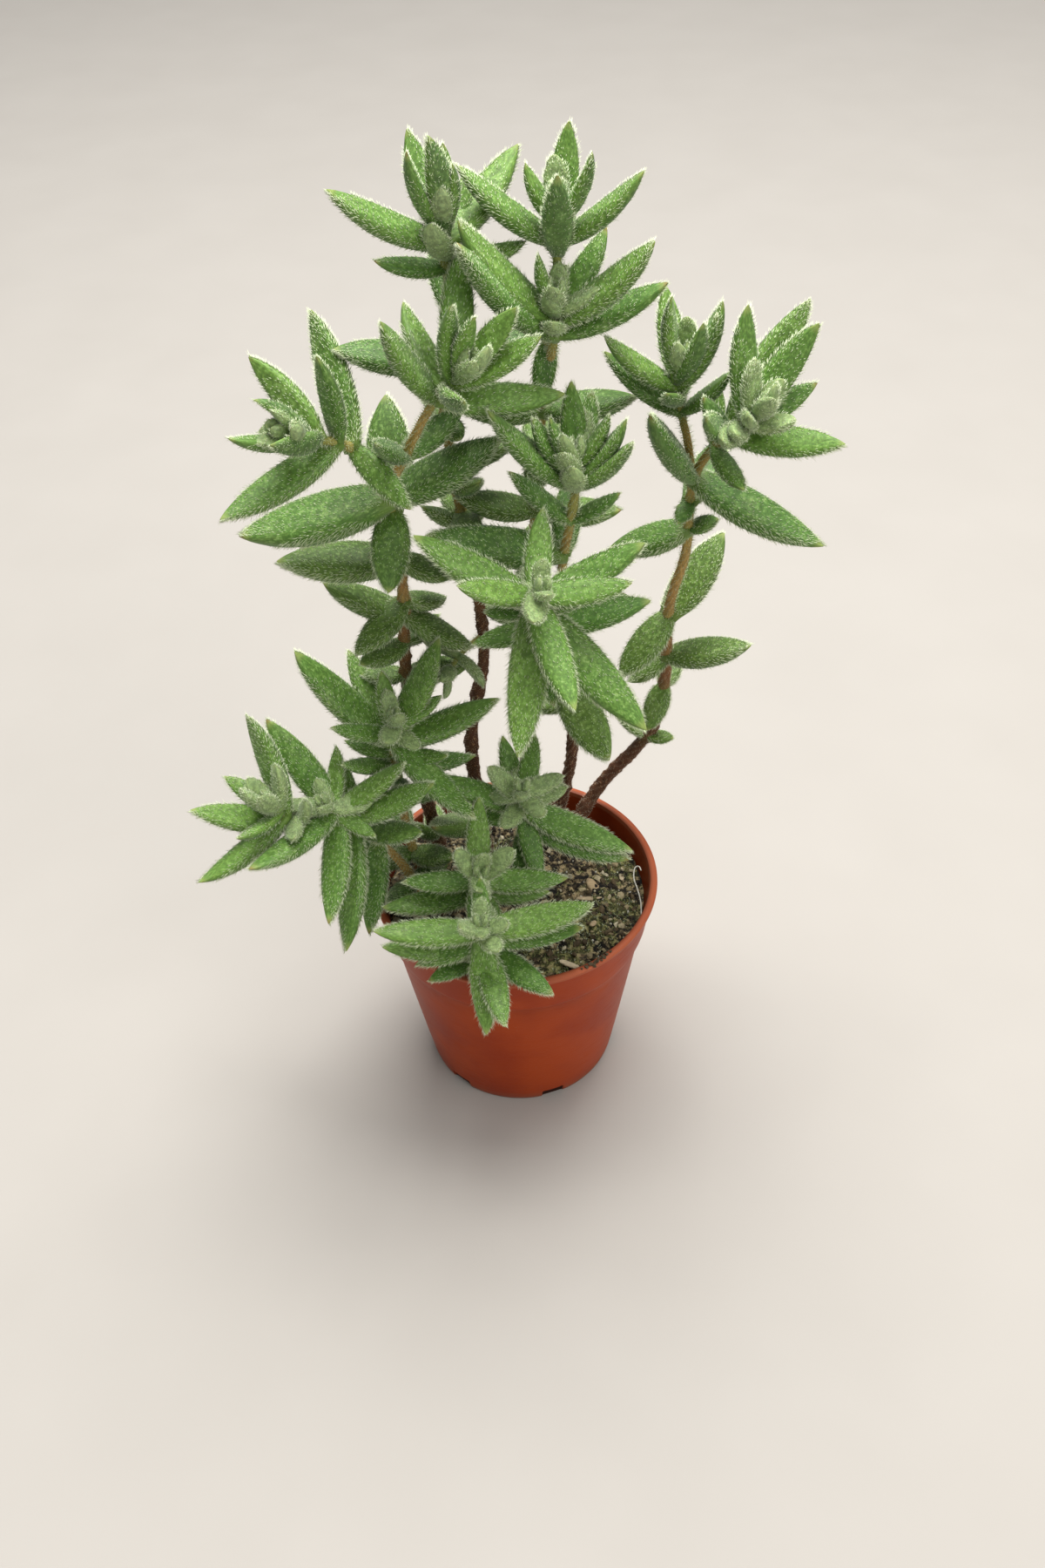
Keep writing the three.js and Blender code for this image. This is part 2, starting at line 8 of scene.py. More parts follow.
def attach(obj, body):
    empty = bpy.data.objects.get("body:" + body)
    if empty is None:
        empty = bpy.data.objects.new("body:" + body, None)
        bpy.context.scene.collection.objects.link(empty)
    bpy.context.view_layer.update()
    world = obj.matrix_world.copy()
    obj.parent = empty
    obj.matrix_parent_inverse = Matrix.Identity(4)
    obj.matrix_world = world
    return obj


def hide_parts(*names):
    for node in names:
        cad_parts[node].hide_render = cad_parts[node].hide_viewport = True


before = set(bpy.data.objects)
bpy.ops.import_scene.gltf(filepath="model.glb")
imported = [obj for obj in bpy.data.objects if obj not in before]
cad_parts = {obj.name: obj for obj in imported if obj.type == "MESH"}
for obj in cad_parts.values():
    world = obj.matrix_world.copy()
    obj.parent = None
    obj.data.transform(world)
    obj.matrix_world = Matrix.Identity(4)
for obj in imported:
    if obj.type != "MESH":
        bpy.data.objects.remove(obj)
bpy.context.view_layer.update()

mm = 0.001  # lengths are in millimetres unless a note says metres, and are scaled when a mesh is made


# Shader maths: a socket that can be written in sums
class Wire:
    def __init__(self, tree, socket):
        self.tree = tree
        self.socket = socket

    def reckon(self, operation, first, second):
        wide = any(isinstance(v, Wire) and v.socket.type in ("RGBA", "VECTOR") for v in (first, second))
        node = self.tree.nodes.new("ShaderNodeVectorMath" if wide else "ShaderNodeMath")
        node.operation = operation
        for spot, value in enumerate((first, second)):
            if isinstance(value, Wire):
                self.tree.links.new(value.socket, node.inputs[spot])
            elif wide and not hasattr(value, "__len__"):
                node.inputs[spot].default_value = (value, value, value)
            else:
                node.inputs[spot].default_value = value
        return Wire(self.tree, node.outputs[0])

    def __add__(self, other):
        return self.reckon("ADD", self, other)

    def __radd__(self, other):
        return self.reckon("ADD", other, self)

    def __sub__(self, other):
        return self.reckon("SUBTRACT", self, other)

    def __rsub__(self, other):
        return self.reckon("SUBTRACT", other, self)

    def __mul__(self, other):
        return self.reckon("MULTIPLY", self, other)

    def __rmul__(self, other):
        return self.reckon("MULTIPLY", other, self)


# A material and its nodes
class Finish:
    def __init__(self, name, **constants):
        self.material = bpy.data.materials.new(name)
        self.material.use_nodes = True
        self.tree = self.material.node_tree
        self.tree.nodes.clear()
        self.shader = self.tree.nodes.new("ShaderNodeBsdfPrincipled")
        out = self.tree.nodes.new("ShaderNodeOutputMaterial")
        self.tree.links.new(self.shader.outputs[0], out.inputs["Surface"])
        for socket, value in constants.items():
            self.shader.inputs[socket].default_value = value

    # any node: its type, its settings, the values or links of its sockets, and the output wanted
    def node(self, kind, settings=None, sockets=None, output=0):
        made = self.tree.nodes.new("ShaderNode" + kind)
        for setting, value in (settings or {}).items():
            if setting == "stops":
                self.fillRamp(made.color_ramp, value)
            else:
                setattr(made, setting, value)
        for socket, value in (sockets or {}).items():
            if isinstance(value, Wire):
                self.tree.links.new(value.socket, made.inputs[socket])
            else:
                made.inputs[socket].default_value = value
        return Wire(self.tree, made.outputs[output])

    def fillRamp(self, ramp, stops):
        while len(ramp.elements) < len(stops):
            ramp.elements.new(1)
        for element, (position, colour) in zip(ramp.elements, stops):
            element.position = position
            element.color = (*colour, 1)

    # a number stored at the points of the mesh
    def value(self, name):
        return self.node("Attribute", {"attribute_name": name}, output="Fac")

    def vector(self, name):
        return self.node("Attribute", {"attribute_name": name}, output="Vector")

    # where on the piece, in metres
    def place(self):
        return self.node("TexCoord", output="Object")

    # 0 to 1 as value goes from low to high, also where low is the larger of the two
    def rise(self, value, low, high):
        sockets = {0: value, 1: low, 2: high, 3: 0, 4: 1}
        return self.node("MapRange", {"interpolation_type": "SMOOTHSTEP"}, sockets)

    def blend(self, first, second, share):
        first, second = (self.colour(c) for c in (first, second))
        settings = {"data_type": "RGBA", "clamp_factor": True}
        return self.node("Mix", settings, {0: share, 6: first, 7: second}, output=2)

    def colour(self, c):
        return c if isinstance(c, Wire) else (*c, 1)

    # noise around 0.5; scale counts its spots along a metre of a place, or along a millimetre of a streak
    def grain(self, vector, scale, detail=2, roughness=0.5):
        sockets = {"Vector": vector, "Scale": scale, "Detail": detail, "Roughness": roughness}
        return self.node("TexNoise", None, sockets)

    # distance is in metres
    def bump(self, height, strength, distance):
        sockets = {"Height": height, "Strength": strength, "Distance": distance}
        return self.node("Bump", None, sockets)

    def feed(self, **wires):
        for socket, wire in wires.items():
            self.tree.links.new(wire.socket, self.shader.inputs[socket.replace("_", " ")])
        return self.material


# Meshes: gathers points, faces and values at the points, and makes one piece of them
class Heap:
    def __init__(self):
        self.points = []
        self.faces = []
        self.values = {}
        self.count = 0

    def add(self, points, faces, **values):
        points = np.asarray(points, float).reshape(-1, 3)
        for face in faces:
            self.faces.append(np.asarray(face, int) + self.count)
        for name, value in values.items():
            value = np.asarray(value, float)
            shape = (len(points), 3) if value.shape[-1:] == (3,) else (len(points),)
            self.values.setdefault(name, []).append(np.broadcast_to(value, shape))
        self.points.append(points)
        self.count += len(points)

    def triangles(self):
        return sum(len(f) * (f.shape[1] - 2) for f in self.faces)

    def make(self, name, material, smooth=True):
        points = np.concatenate(self.points) * mm
        corners = np.concatenate([f.ravel() for f in self.faces])
        sizes = np.concatenate([np.full(len(f), f.shape[1]) for f in self.faces])
        mesh = bpy.data.meshes.new(name)
        mesh.vertices.add(len(points))
        mesh.vertices.foreach_set("co", points.astype(np.float32).ravel())
        mesh.loops.add(len(corners))
        mesh.loops.foreach_set("vertex_index", corners.astype(np.int32))
        mesh.polygons.add(len(sizes))
        starts = np.concatenate([[0], np.cumsum(sizes)[:-1]])
        mesh.polygons.foreach_set("loop_start", starts.astype(np.int32))
        mesh.update(calc_edges=True)
        mesh.polygons.foreach_set("use_smooth", np.full(len(sizes), smooth))
        for valueName, parts in self.values.items():
            data = np.concatenate(parts).astype(np.float32)
            kind, field = ("FLOAT_VECTOR", "vector") if data.ndim == 2 else ("FLOAT", "value")
            mesh.attributes.new(valueName, kind, "POINT").data.foreach_set(field, data.ravel())
        mesh.materials.append(material)
        piece = bpy.data.objects.new(name, mesh)
        bpy.context.scene.collection.objects.link(piece)
        return piece


# puts a piece on the part's body, in place of the nodes given
def keep(piece, slot, *nodes):
    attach(piece, "root")
    if nodes:
        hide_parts(*nodes)


def unit(v):
    return v / np.maximum(np.linalg.norm(v, axis=-1, keepdims=True), 1e-9)


evenSteps = (0.7548776662, 0.5698402910)  # steps along a square's sides that fill it evenly


# even, repeatable spread of count points over a square, with no draw
def spread(count, start=0.0):
    k = np.arange(1, count + 1)
    return np.stack([(start + k * evenSteps[0]) % 1, (start + k * evenSteps[1]) % 1], 1)


# between about -1 and 1, with bumps of the given size
def ruggedness(points, size, seed):
    return np.array([noise.noise(Vector(p / size) + Vector((seed, seed * 1.7, 0))) for p in points])


def anglesRound(sides):
    return 2 * np.pi * np.arange(sides) / sides


# faces of a grid of rings, closed round, ring r to ring r + 1
def gridFaces(rings, sides):
    r, s = np.meshgrid(np.arange(rings - 1), np.arange(sides), indexing="ij")
    a = r * sides + s
    b = r * sides + (s + 1) % sides
    return np.stack([a, b, b + sides, a + sides], -1).reshape(-1, 4)


# triangles from a ring to a middle point, looking ahead along the rings or back
def fanFaces(ring, middle, ahead):
    nextOne = np.roll(ring, -1)
    middle = np.full(len(ring), middle)
    return np.stack([ring, nextOne, middle] if ahead else [nextOne, ring, middle], 1)


# points and faces of a grid of rings, with a fan to a middle point at either end
def closedGrid(grid, first, last):
    rings, sides = grid.shape[:2]
    ring = np.arange(sides)
    points = np.vstack([grid.reshape(-1, 3), first, last])
    return points, [gridFaces(rings, sides), fanFaces(ring, rings * sides, False),
                    fanFaces(ring + (rings - 1) * sides, rings * sides + 1, True)]


# smooth line through the points of a path
def smoothPath(path, steps):
    p = np.array(path, float)
    p = np.vstack([2 * p[0] - p[1], p, 2 * p[-1] - p[-2]])
    t = (np.arange(steps) / steps)[:, None]
    line = []
    for a, b, c, d in zip(p, p[1:], p[2:], p[3:]):
        line.append(0.5 * (2 * b + (c - a) * t + (2 * a - 5 * b + 4 * c - d) * t**2
                           + (3 * b - a - 3 * c + d) * t**3))
    return np.vstack([*line, p[-2]])


# all the ways out of a line, round each of its points
def waysRound(across, other, sides):
    angle = anglesRound(sides)
    return np.cos(angle)[None, :, None] * across[:, None] + np.sin(angle)[None, :, None] * other[:, None]


# Where every leaf stands: the rule by which the leafy stems of the frame were grown
growth = {
    "leafGirth": (0.5, 0.097),  # half width: a fixed share, and a share of the length
    "oldLeafBroader": 0.45,
    "oldLeafFrom": 14,  # below the tip, and the distance over which leaves get broader
    "oldLeafOver": 20,
    "leafCurl": (26, 8),  # degrees, of the youngest leaves and of those further down than curlOver
    "curlOver": 20,
    "curlAhead": 0.4,  # share of the curl by which a leaf opens wider at its foot
    "leafSteps": 8,
    "budLeaf": 9,  # leaves up to this long are buds, which the frame's stems leave out
    "pathSteps": 6,
    "stemRoom": 0.15,
    "stemTaper": 1.8,
    "leafGap": 0.4,
    "potGap": 0.5,
    "leafReach": 5,  # how much further than its length a leaf looks for others
    "ballShare": 0.9,  # balls that stand for a leaf, as a share of its half width
    "slimmestBall": 0.35,
    "soilTop": 43.2,
    "potTop": 47,
    "rim": 27.5,
    "lip": 1.5,
}
farAway = -9  # stands for no touch at all
ballStops = np.array([0.2, 0.36, 0.52, 0.68, 0.84, 1])
plainWidth = ([0, 0.15, 0.4, 0.65, 0.85, 1], [0.25, 0.7, 1, 0.86, 0.5, 0])
leafShrinks = (1, 0.85, 0.7, 0.55)
# degrees that a leaf may open further and turn aside to come clear, tried in this order
leafBends = [
    (0, 0), (-7, 0), (7, 0), (0, 8), (0, -8), (-14, 0), (14, 0), (-7, 12), (-7, -12),
    (7, 12), (7, -12), (0, 18), (0, -18), (-22, 0), (22, 0), (-14, 16), (-14, -16),
    (14, 16), (14, -16), (0, 28), (0, -28), (-22, 20), (-22, -20), (22, 20), (22, -20),
]

# Every shoot: its path from the soil or the parent stem to the growing tip, its
# thickness at both ends, and its leaf pairs. A pair gives the distance below the
# tip, then length and opening of one leaf, length and opening of its opposite, and
# where they need it an extra turn, one for both leaves or one for each. A length of
# 0 leaves that leaf out. Pairs stand crosswise to each other.
shoots = [
    dict(
        name="B", spray="middle", turn=-7, thick=(1.5, 0.65),
        path=[
            (4, 14, 36), (3, 14, 60), (3, 14, 80), (4, 13, 101), (6, 12, 120), (7, 10, 138), (8, 8, 151),
            (9, 6, 159), (10, 6, 169), (10, 5, 176),
        ],
        pairs=[
            (0.4, 5, 10, 5, 10), (1, 8, 32, 6, 23, 7), (2, 12.5, 27, 9.5, 30, -11), (3, 14, 34, 7, 5, -10),
            (5, 16, 49, 18, 54), (6.5, 14, 70, 15, 24), (34, 15, 75, 14, 100),
            (44, 16, 85, 8, 85), (54, 14, 85, 14, 85), (66, 12, 85, 12, 85), (78, 11, 85, 10, 85),
            (21, 4, 60, 9, 140),
        ],
    ),
    dict(
        name="C", spray="middle", turn=-12, thick=(0.9, 0.6),
        path=[
            (8, 8, 149), (9, 5, 155), (9.5, 3, 160), (9.5, 2, 164),
        ],
        pairs=[
            (0.3, 4, 15, 4, 15), (0.8, 6, 40, 6, 30), (1.5, 8, 58, 9.5, 16),
            (2.2, 14, 59, 6, 30, -30, -12), (3.5, 20, 43, 22, 42, 7), (4.5, 9, 65, 7, 44),
            (6, 18, 62, 24, 41, 18),
        ],
    ),
    dict(
        name="D", spray="left", turn=5, thick=(1.4, 0.6),
        path=[
            (-14, 12, 36), (-17, 11, 62), (-18, 9, 92), (-17, 8, 108), (-17, 5, 124), (-17, 3, 133),
            (-14, 1, 140), (-12, -1, 145), (-9, -3, 151), (-6, -5, 155), (-4, -7, 159),
        ],
        pairs=[
            (0.3, 4, 12, 4, 12), (1, 6, 35, 6, 25), (1.7, 13, 30, 10.5, 15, 38, -60),
            (2.5, 18, 75, 9, 12, 4, 46), (4, 15, 36, 13.5, 29, 6, -40), (6, 17, 106, 13, 45, 12, -26),
            (8.5, 19, 67, 18, 58, 2, -8), (22.5, 12, 70, 11.5, 50, -50, -56),
            (32.5, 20, 56, 25, 103, 12, 2),
            (35.5, 18.5, 34, 14.5, 106, -6, -8), (46.5, 11, 129, 20, 84, 6, 0),
            (56.5, 10, 116, 13, 109, -58, -46), (59.5, 14, 127, 15, 66, -8, -4), (66, 9, 85, 11, 82, -46),
            (73.5, 12, 85, 8, 85), (117, 8, 85, 10.5, 34, 0, -42),
        ],
    ),
    dict(
        name="E", spray="left", turn=-40, thick=(0.85, 0.6),
        path=[
            (-17, 3, 132), (-19, 1, 139), (-22, -2, 144), (-25, -5, 147), (-28, -7, 149), (-30, -9, 151),
        ],
        pairs=[
            (0.3, 4, 12, 4, 12), (1, 6, 25, 6, 30), (2.5, 7, 40, 7, 83, 26), (4.5, 11.5, 23, 13, 12, 0, 6),
            (6.5, 12, 25, 16, 64, -4, -22), (10, 15, 51, 21, 51, 10, -4),
            (13.5, 14, 110, 21.5, 73, 0, -44),
        ],
    ),
    dict(
        name="H", spray="right", turn=-28, thick=(1.6, 0.65),
        path=[
            (12, 16, 36), (13, 17, 44), (18, 19, 53), (27, 17, 68), (29, 14, 82), (29, 12, 93),
            (29, 10, 104), (31, 8, 116), (31, 4, 132), (34, 0, 141), (37, -4, 146), (39, -6, 150),
        ],
        pairs=[
            (0.3, 4, 12, 4, 12), (1, 6, 30, 6, 22), (1.8, 7, -4, 9, 40, 0, -18),
            (2.5, 11, 67, 6, 51, -2, -18), (3.5, 7.5, 41, 17, 51, 0, -34), (5, 18, 49, 7, 55, 2, -24),
            (6.5, 13.5, 61, 8, 60, 60), (8.5, 22.5, 63, 13, 51, 4, -54), (8.5, 17.5, 46, 10, 60, 8),
            (13, 10, 70, 12, 62, 32), (21.5, 23, 95, 20, 35, 0, 34), (27, 14, 85, 5, 95),
            (33.5, 5.5, 60, 15, 119, 16), (54.5, 17, 54, 14, 117, -18), (65, 16, 70, 9, 129, 12, 38),
            (73.5, 8, 85, 9, 123, 4), (89, 5.5, 54, 8, 85, -4),
        ],
    ),
    dict(
        name="G", spray="right", turn=-13, thick=(0.8, 0.55),
        path=[
            (31, 5, 130), (30, 5, 138), (28, 4, 147), (28, 3, 153),
        ],
        pairs=[
            (0.3, 4, 12, 4, 12), (1, 8, 17, 6, 21, 0, -16), (1.8, 11.5, 24, 13, 21, 12, -6),
            (3, 14, 48, 12, 18, 24, 60), (4.5, 15.5, 26, 14.5, 52, 18, 8), (6.5, 12, 70, 10, 50),
            (9, 12, 60, 15, 43, -8),
        ],
    ),
    dict(
        name="F", spray="front", turn=-5, thick=(1.4, 0.65),
        path=[
            (8, 18, 36), (9, 19, 44), (12, 17, 64), (11, 11, 91), (10, 3, 116), (11, -1, 127),
            (12, -3, 136), (12, -4, 142),
        ],
        pairs=[
            (0.3, 4, 12, 4, 12), (1, 8, 54, 7, 23, -12, -38), (1.8, 10.5, 32, 9.5, 25, 10, -6),
            (2.5, 13, 37, 8, 36, 6, -22), (4, 14, 33, 13, 34, -8, -4), (5.5, 14.5, 68, 9, 34, -8),
            (5.5, 15, 37, 20, 45, -24, -2), (10, 0, 60, 0, 60), (13, 9.5, 48, 13, 56, 4, -8),
            (21.5, 13, 90, 23, 80, 0, -84), (35, 12, 90, 12, 90), (46, 11, 90, 5, 90),
            (66.5, 8, 85, 12, 85),
        ],
    ),
    dict(
        name="I", spray="front", turn=3, thick=(0.95, 0.65),
        path=[
            (12, 15, 71), (11, 8, 85), (8, -2, 103), (6, -12, 118), (5, -16, 124), (6, -19, 129),
        ],
        pairs=[
            (0.3, 3, 15, 3, 15), (0.8, 5, 45, 5, 35), (1.5, 5.5, 129, 4, 129, -4, 0),
            (2, 8, 128, 8, 61, 0, -20), (3, 14.5, 74, 13.5, 75), (4, 14, 79, 18.5, 94, -8, 14),
            (5.5, 19, 70, 21, 74, 18, -28), (7, 10, 80, 23.5, 108, -14), (8, 8, 85, 8, 85),
            (9.5, 6, 65, 25, 107, 50, 36), (17, 17.5, 83, 12, 100, 4), (22, 12, 80, 12, 90),
            (46, 17.5, 84, 8, 85, -68),
        ],
    ),
    dict(
        name="A", spray="rear", turn=12, thick=(1.5, 0.65),
        path=[
            (-5, 12, 36), (-7, 12, 60), (-7, 12, 75), (-4, 13, 92), (-5, 13, 111), (-7, 13, 127),
            (-8, 11, 145), (-6, 7, 162), (-6, 4, 170), (-6, 2, 177),
        ],
        pairs=[
            (0.4, 5, 10, 5, 10), (1, 10, 42, 7, 15, -20, -8), (2, 10, 14, 13.5, 20),
            (3, 14.5, 50, 15, -3, 12, 36), (4.5, 18.5, 76, 19, 55, 40, -2), (6.5, 12, 60, 9, 26, -34),
            (9, 12, 65, 11, 66, 2), (17, 12, 60, 9, 90), (27, 14, 70, 17, 81, -4), (38, 13, 75, 13, 85),
            (47, 12, 80, 12, 80), (57, 11, 85, 11, 85), (67, 10, 85, 10, 85),
            (128, 8, 85, 17, 55, 0, -48), (59, 6, 60, 8, 50), (52, 5, 60, 8, 60, 30),
        ],
    ),
    dict(
        name="T", spray="rear", turn=0, thick=(0.55, 0.45),
        path=[
            (-4, 13, 96), (-8, 9, 95), (-11, 6, 92),
        ],
        pairs=[
            (0.5, 4, 30, 4, 30), (2, 5, 60, 5, 60), (4.5, 7, 80, 7, 80),
        ],
    ),
    dict(
        name="J", spray="small_left", turn=20, thick=(1.2, 0.6),
        path=[
            (-17, 5, 36), (-20, 5, 52), (-21, 3, 69), (-21, 1, 78), (-20, -1, 89),
        ],
        pairs=[
            (0.3, 3, 12, 3, 12), (0.8, 6, 40, 6, 30), (1.6, 10, 66, 7, 68, 2, 58),
            (2.5, 10.5, 40, 6, 95, 2, 28), (4, 20, 49, 12, 72, 26, -8), (5.5, 18, 65, 20.5, 111, 12, 30),
            (6.5, 20.5, 81, 24, 56, 2, -46), (10, 9.5, 93, 11, 70, 50), (13, 15, 99, 12, 58, -10, 6),
            (18, 13, 90, 8, 60), (24, 12, 90, 12, 90), (33, 8, 85, 12, 82, 0, -78),
            (40, 12, 70, 12.5, 81, -60, 18),
        ],
    ),
    dict(
        name="K", spray="low_left", turn=8, thick=(1.1, 0.6),
        path=[
            (-17, 0, 36), (-21, 0, 50), (-26, -3, 62), (-30, -6, 69), (-33, -8, 76),
        ],
        pairs=[
            (0.3, 3, 15, 3, 15), (0.8, 5, 50, 5, 40), (1.5, 8, 105, 8, 52, -6, -2),
            (2, 11.5, 74, 9.5, 127, -22, 46), (3, 16.5, 96, 20.5, 63, 8, 46), (4, 21, 47, 20, 108, 18, -20),
            (6, 20, 92, 9, 60, -6), (9, 12, 60, 23, 107, -20), (13, 15.5, 81, 15, 75, -24),
            (18, 12, 70, 17.5, 105, -22), (33, 8, 85, 11, 66, 0, 66),
        ],
    ),
    dict(
        name="K2", spray="low_left", turn=32, thick=(0.85, 0.55),
        path=[
            (-27, -4, 64), (-33, -7, 68), (-39, -10, 74), (-42, -11, 79),
        ],
        pairs=[
            (0.3, 4, 15, 4, 15), (1, 7, 35, 7, 28), (1.6, 9, 40, 9, 12, 2), (2.5, 12, 55, 11, 59, 18, -58),
            (4, 20, 38, 19, 79, 36, 2), (5.5, 8, 70, 8, 70), (7, 8, 60, 19, 30, -30),
        ],
    ),
    dict(
        name="M", spray="low_front", turn=0, thick=(1.1, 0.6),
        path=[
            (-6, -17, 36), (-6, -20, 46), (-6, -25, 57), (-6, -28, 65),
        ],
        pairs=[
            (0.3, 3, 20, 3, 20), (0.7, 5, 50, 5, 50), (1.5, 6, 56, 8, 36, -16, 40),
            (2.5, 8, 127, 7.5, 63, -12, 26), (3.5, 20.5, 78, 19, 88, 6, 0), (5, 10, 60, 18.5, 127),
            (7, 18, 82, 14, 117, 0, 12), (10, 10, 85, 17, 81, 12), (13, 16.5, 76, 18.5, 77, -40, 2),
            (16, 10, 85, 12, 77, -60),
        ],
    ),
    dict(
        name="M2", spray="low_back", turn=0, thick=(1.0, 0.6),
        path=[
            (-7, -8, 36), (-7, -11, 48), (-7, -14, 59), (-6, -17, 66),
        ],
        pairs=[
            (0.3, 3, 20, 3, 20), (0.8, 6, 19, 6, 53, -6, -10), (1.6, 9, 44, 8, 45, 28, -28),
            (2.5, 14.5, 79, 7, 60), (4, 16.5, 93, 14, 115, 2, -4), (7, 10, 60, 12, 100),
            (10, 15, 115, 17.5, 95, 12, 6),
        ],
    ),
    dict(
        name="L", spray="low_middle", turn=-5, thick=(1.2, 0.7),
        path=[
            (2, 3, 36), (2, 2, 50), (2, 0, 58), (2, -3, 69), (2, -5, 75),
        ],
        pairs=[
            (0.3, 3, 20, 3, 20), (0.8, 5, 117, 5, 45, -34, -2), (1.6, 8, 76, 6.5, 116, 20, 0),
            (2.5, 7, 107, 7, 73, 10, 38), (3.5, 8.5, 72, 9, 51, 4, -24), (5, 12.5, 63, 8, 75, -10, -24),
            (7, 22, 108, 17, 61, -14, -6), (9, 14.5, 62, 13.5, 110, 20, 18), (12, 21, 98, 12, 72, -18, 4),
            (15, 8, 70, 12, 112),
        ],
    ),
]


# point of a line at a distance below its end, and which way the line runs there
def stationOn(line, below):
    lengths = np.linalg.norm(np.diff(line, axis=0), axis=1)
    left = lengths.sum() - below
    for i, length in enumerate(lengths):
        if left <= length or i == len(lengths) - 1:
            along = (line[i + 1] - line[i]) / length
            return line[i] + along * min(max(left, 0), length), along
        left -= length


# two ways square to a line and to each other
def acrossOf(along):
    across = unit(np.array([1, 0, 0]) - along[..., :1] * along)
    return across, np.cross(along, across)


# middle line of a leaf, and which way its upper face looks
def leafLine(point, along, turn, length, opening, below, steps):
    across, other = acrossOf(along)
    outward = math.cos(math.radians(turn)) * across + math.sin(math.radians(turn)) * other
    curl = np.interp(below, (0, growth["curlOver"]), growth["leafCurl"])
    angle = opening + curl * growth["curlAhead"] - curl * (np.arange(steps) + 0.5) / steps
    angle = np.radians(angle)[:, None]
    step = length / steps * (np.cos(angle) * along + np.sin(angle) * outward)
    spots = np.vstack([point, point + np.cumsum(step, axis=0)])
    faces = np.sin(angle) * along - np.cos(angle) * outward
    return spots, np.vstack([faces, faces[-1:]]), outward


# points of a line at shares of its steps
def pointsAt(spots, stops):
    at = np.asarray(stops) * (len(spots) - 1)
    return np.stack([np.interp(at, np.arange(len(spots)), spots[:, k]) for k in range(3)], 1)


# x, y, z and radius of the balls that stand for a leaf
def ballsOf(spots, halfWidth):
    share = growth["ballShare"] * halfWidth * np.interp(ballStops, *plainWidth)
    return np.column_stack([pointsAt(spots, ballStops), np.maximum(growth["slimmestBall"], share)])


# how deep the balls stand in the pot's wall or in the soil, above 0 if they do
def inPot(balls):
    away = np.hypot(balls[:, 0], balls[:, 1])
    radius = balls[:, 3]
    low = balls[:, 2] - radius
    inside = away + radius - (growth["rim"] - growth["lip"] - growth["potGap"])
    outside = growth["rim"] + growth["potGap"] - away + radius
    inWall = np.where(low < growth["potTop"] + growth["potGap"], np.minimum(inside, outside), farAway)
    inSoil = np.where(away < growth["rim"], growth["soilTop"] + growth["leafGap"] - low, farAway)
    return max(inWall.max(), inSoil.max())


def isClear(balls, others):
    if inPot(balls) > 0:
        return False
    apart = np.linalg.norm(balls[:, None, :3] - others[None, :, :3], axis=2)
    return (balls[:, 3:] + others[:, 3] + growth["leafGap"] - apart).max(initial=farAway) <= 0


def halfWidthOf(length, below):
    age = min(1, max(0, (below - growth["oldLeafFrom"]) / growth["oldLeafOver"]))
    fixed, share = growth["leafGirth"]
    return (fixed + share * length) * (1 + growth["oldLeafBroader"] * age)


# turn, length and opening with which a leaf comes clear of the others, if any
def roomFor(point, along, turn, full, opening, below, others):
    near = others[np.linalg.norm(others[:, :3] - point, axis=1) < full + growth["leafReach"]]
    for shrink in leafShrinks:
        length = full * shrink
        for more, aside in leafBends:
            spots = leafLine(point, along, turn + aside, length, opening + more, below,
                             growth["leafSteps"])[0]
            if isClear(ballsOf(spots, halfWidthOf(length, below)), near):
                return turn + aside, length, opening + more
    return None


def stemRadius(shoot, share):
    foot, tip = shoot["thick"]
    return tip + (foot - tip) * (1 - share) ** growth["stemTaper"]


def growLeaves():
    lines = [smoothPath(shoot["path"], growth["pathSteps"]) for shoot in shoots]
    taken = []
    for index, (shoot, line) in enumerate(zip(shoots, lines)):
        radius = stemRadius(shoot, np.linspace(0, 1, len(line))) + growth["stemRoom"]
        taken.append((index, np.column_stack([line, radius])))
    leaves = []
    for index, (shoot, line) in enumerate(zip(shoots, lines)):
        others = np.vstack([balls for owner, balls in taken if owner != index])
        for row, pair in enumerate(shoot["pairs"]):
            below = pair[0]
            point, along = stationOn(line, below)
            extra = pair[5:] or (0,)
            for side in (0, 1):
                full, opening = pair[1 + 2 * side], pair[2 + 2 * side]
                if full == 0:
                    continue
                isBud = full <= growth["budLeaf"]
                turn = shoot["turn"] + extra[-side] + 90 * (row % 2) + 180 * side
                found = (turn, full, opening)
                if not isBud:
                    found = roomFor(point, along, turn, full, opening, below, others)
                if found is None:
                    continue
                turn, length, opening = found
                halfWidth = halfWidthOf(length, below)
                if not isBud:
                    spots = leafLine(point, along, turn, length, opening, below, growth["leafSteps"])[0]
                    taken.append((index, ballsOf(spots, halfWidth)))
                leaves.append(dict(spray=shoot["spray"], point=point, along=along, turn=turn, length=length,
                                   opening=opening, halfWidth=halfWidth, below=below, bud=isBud))
    return leaves


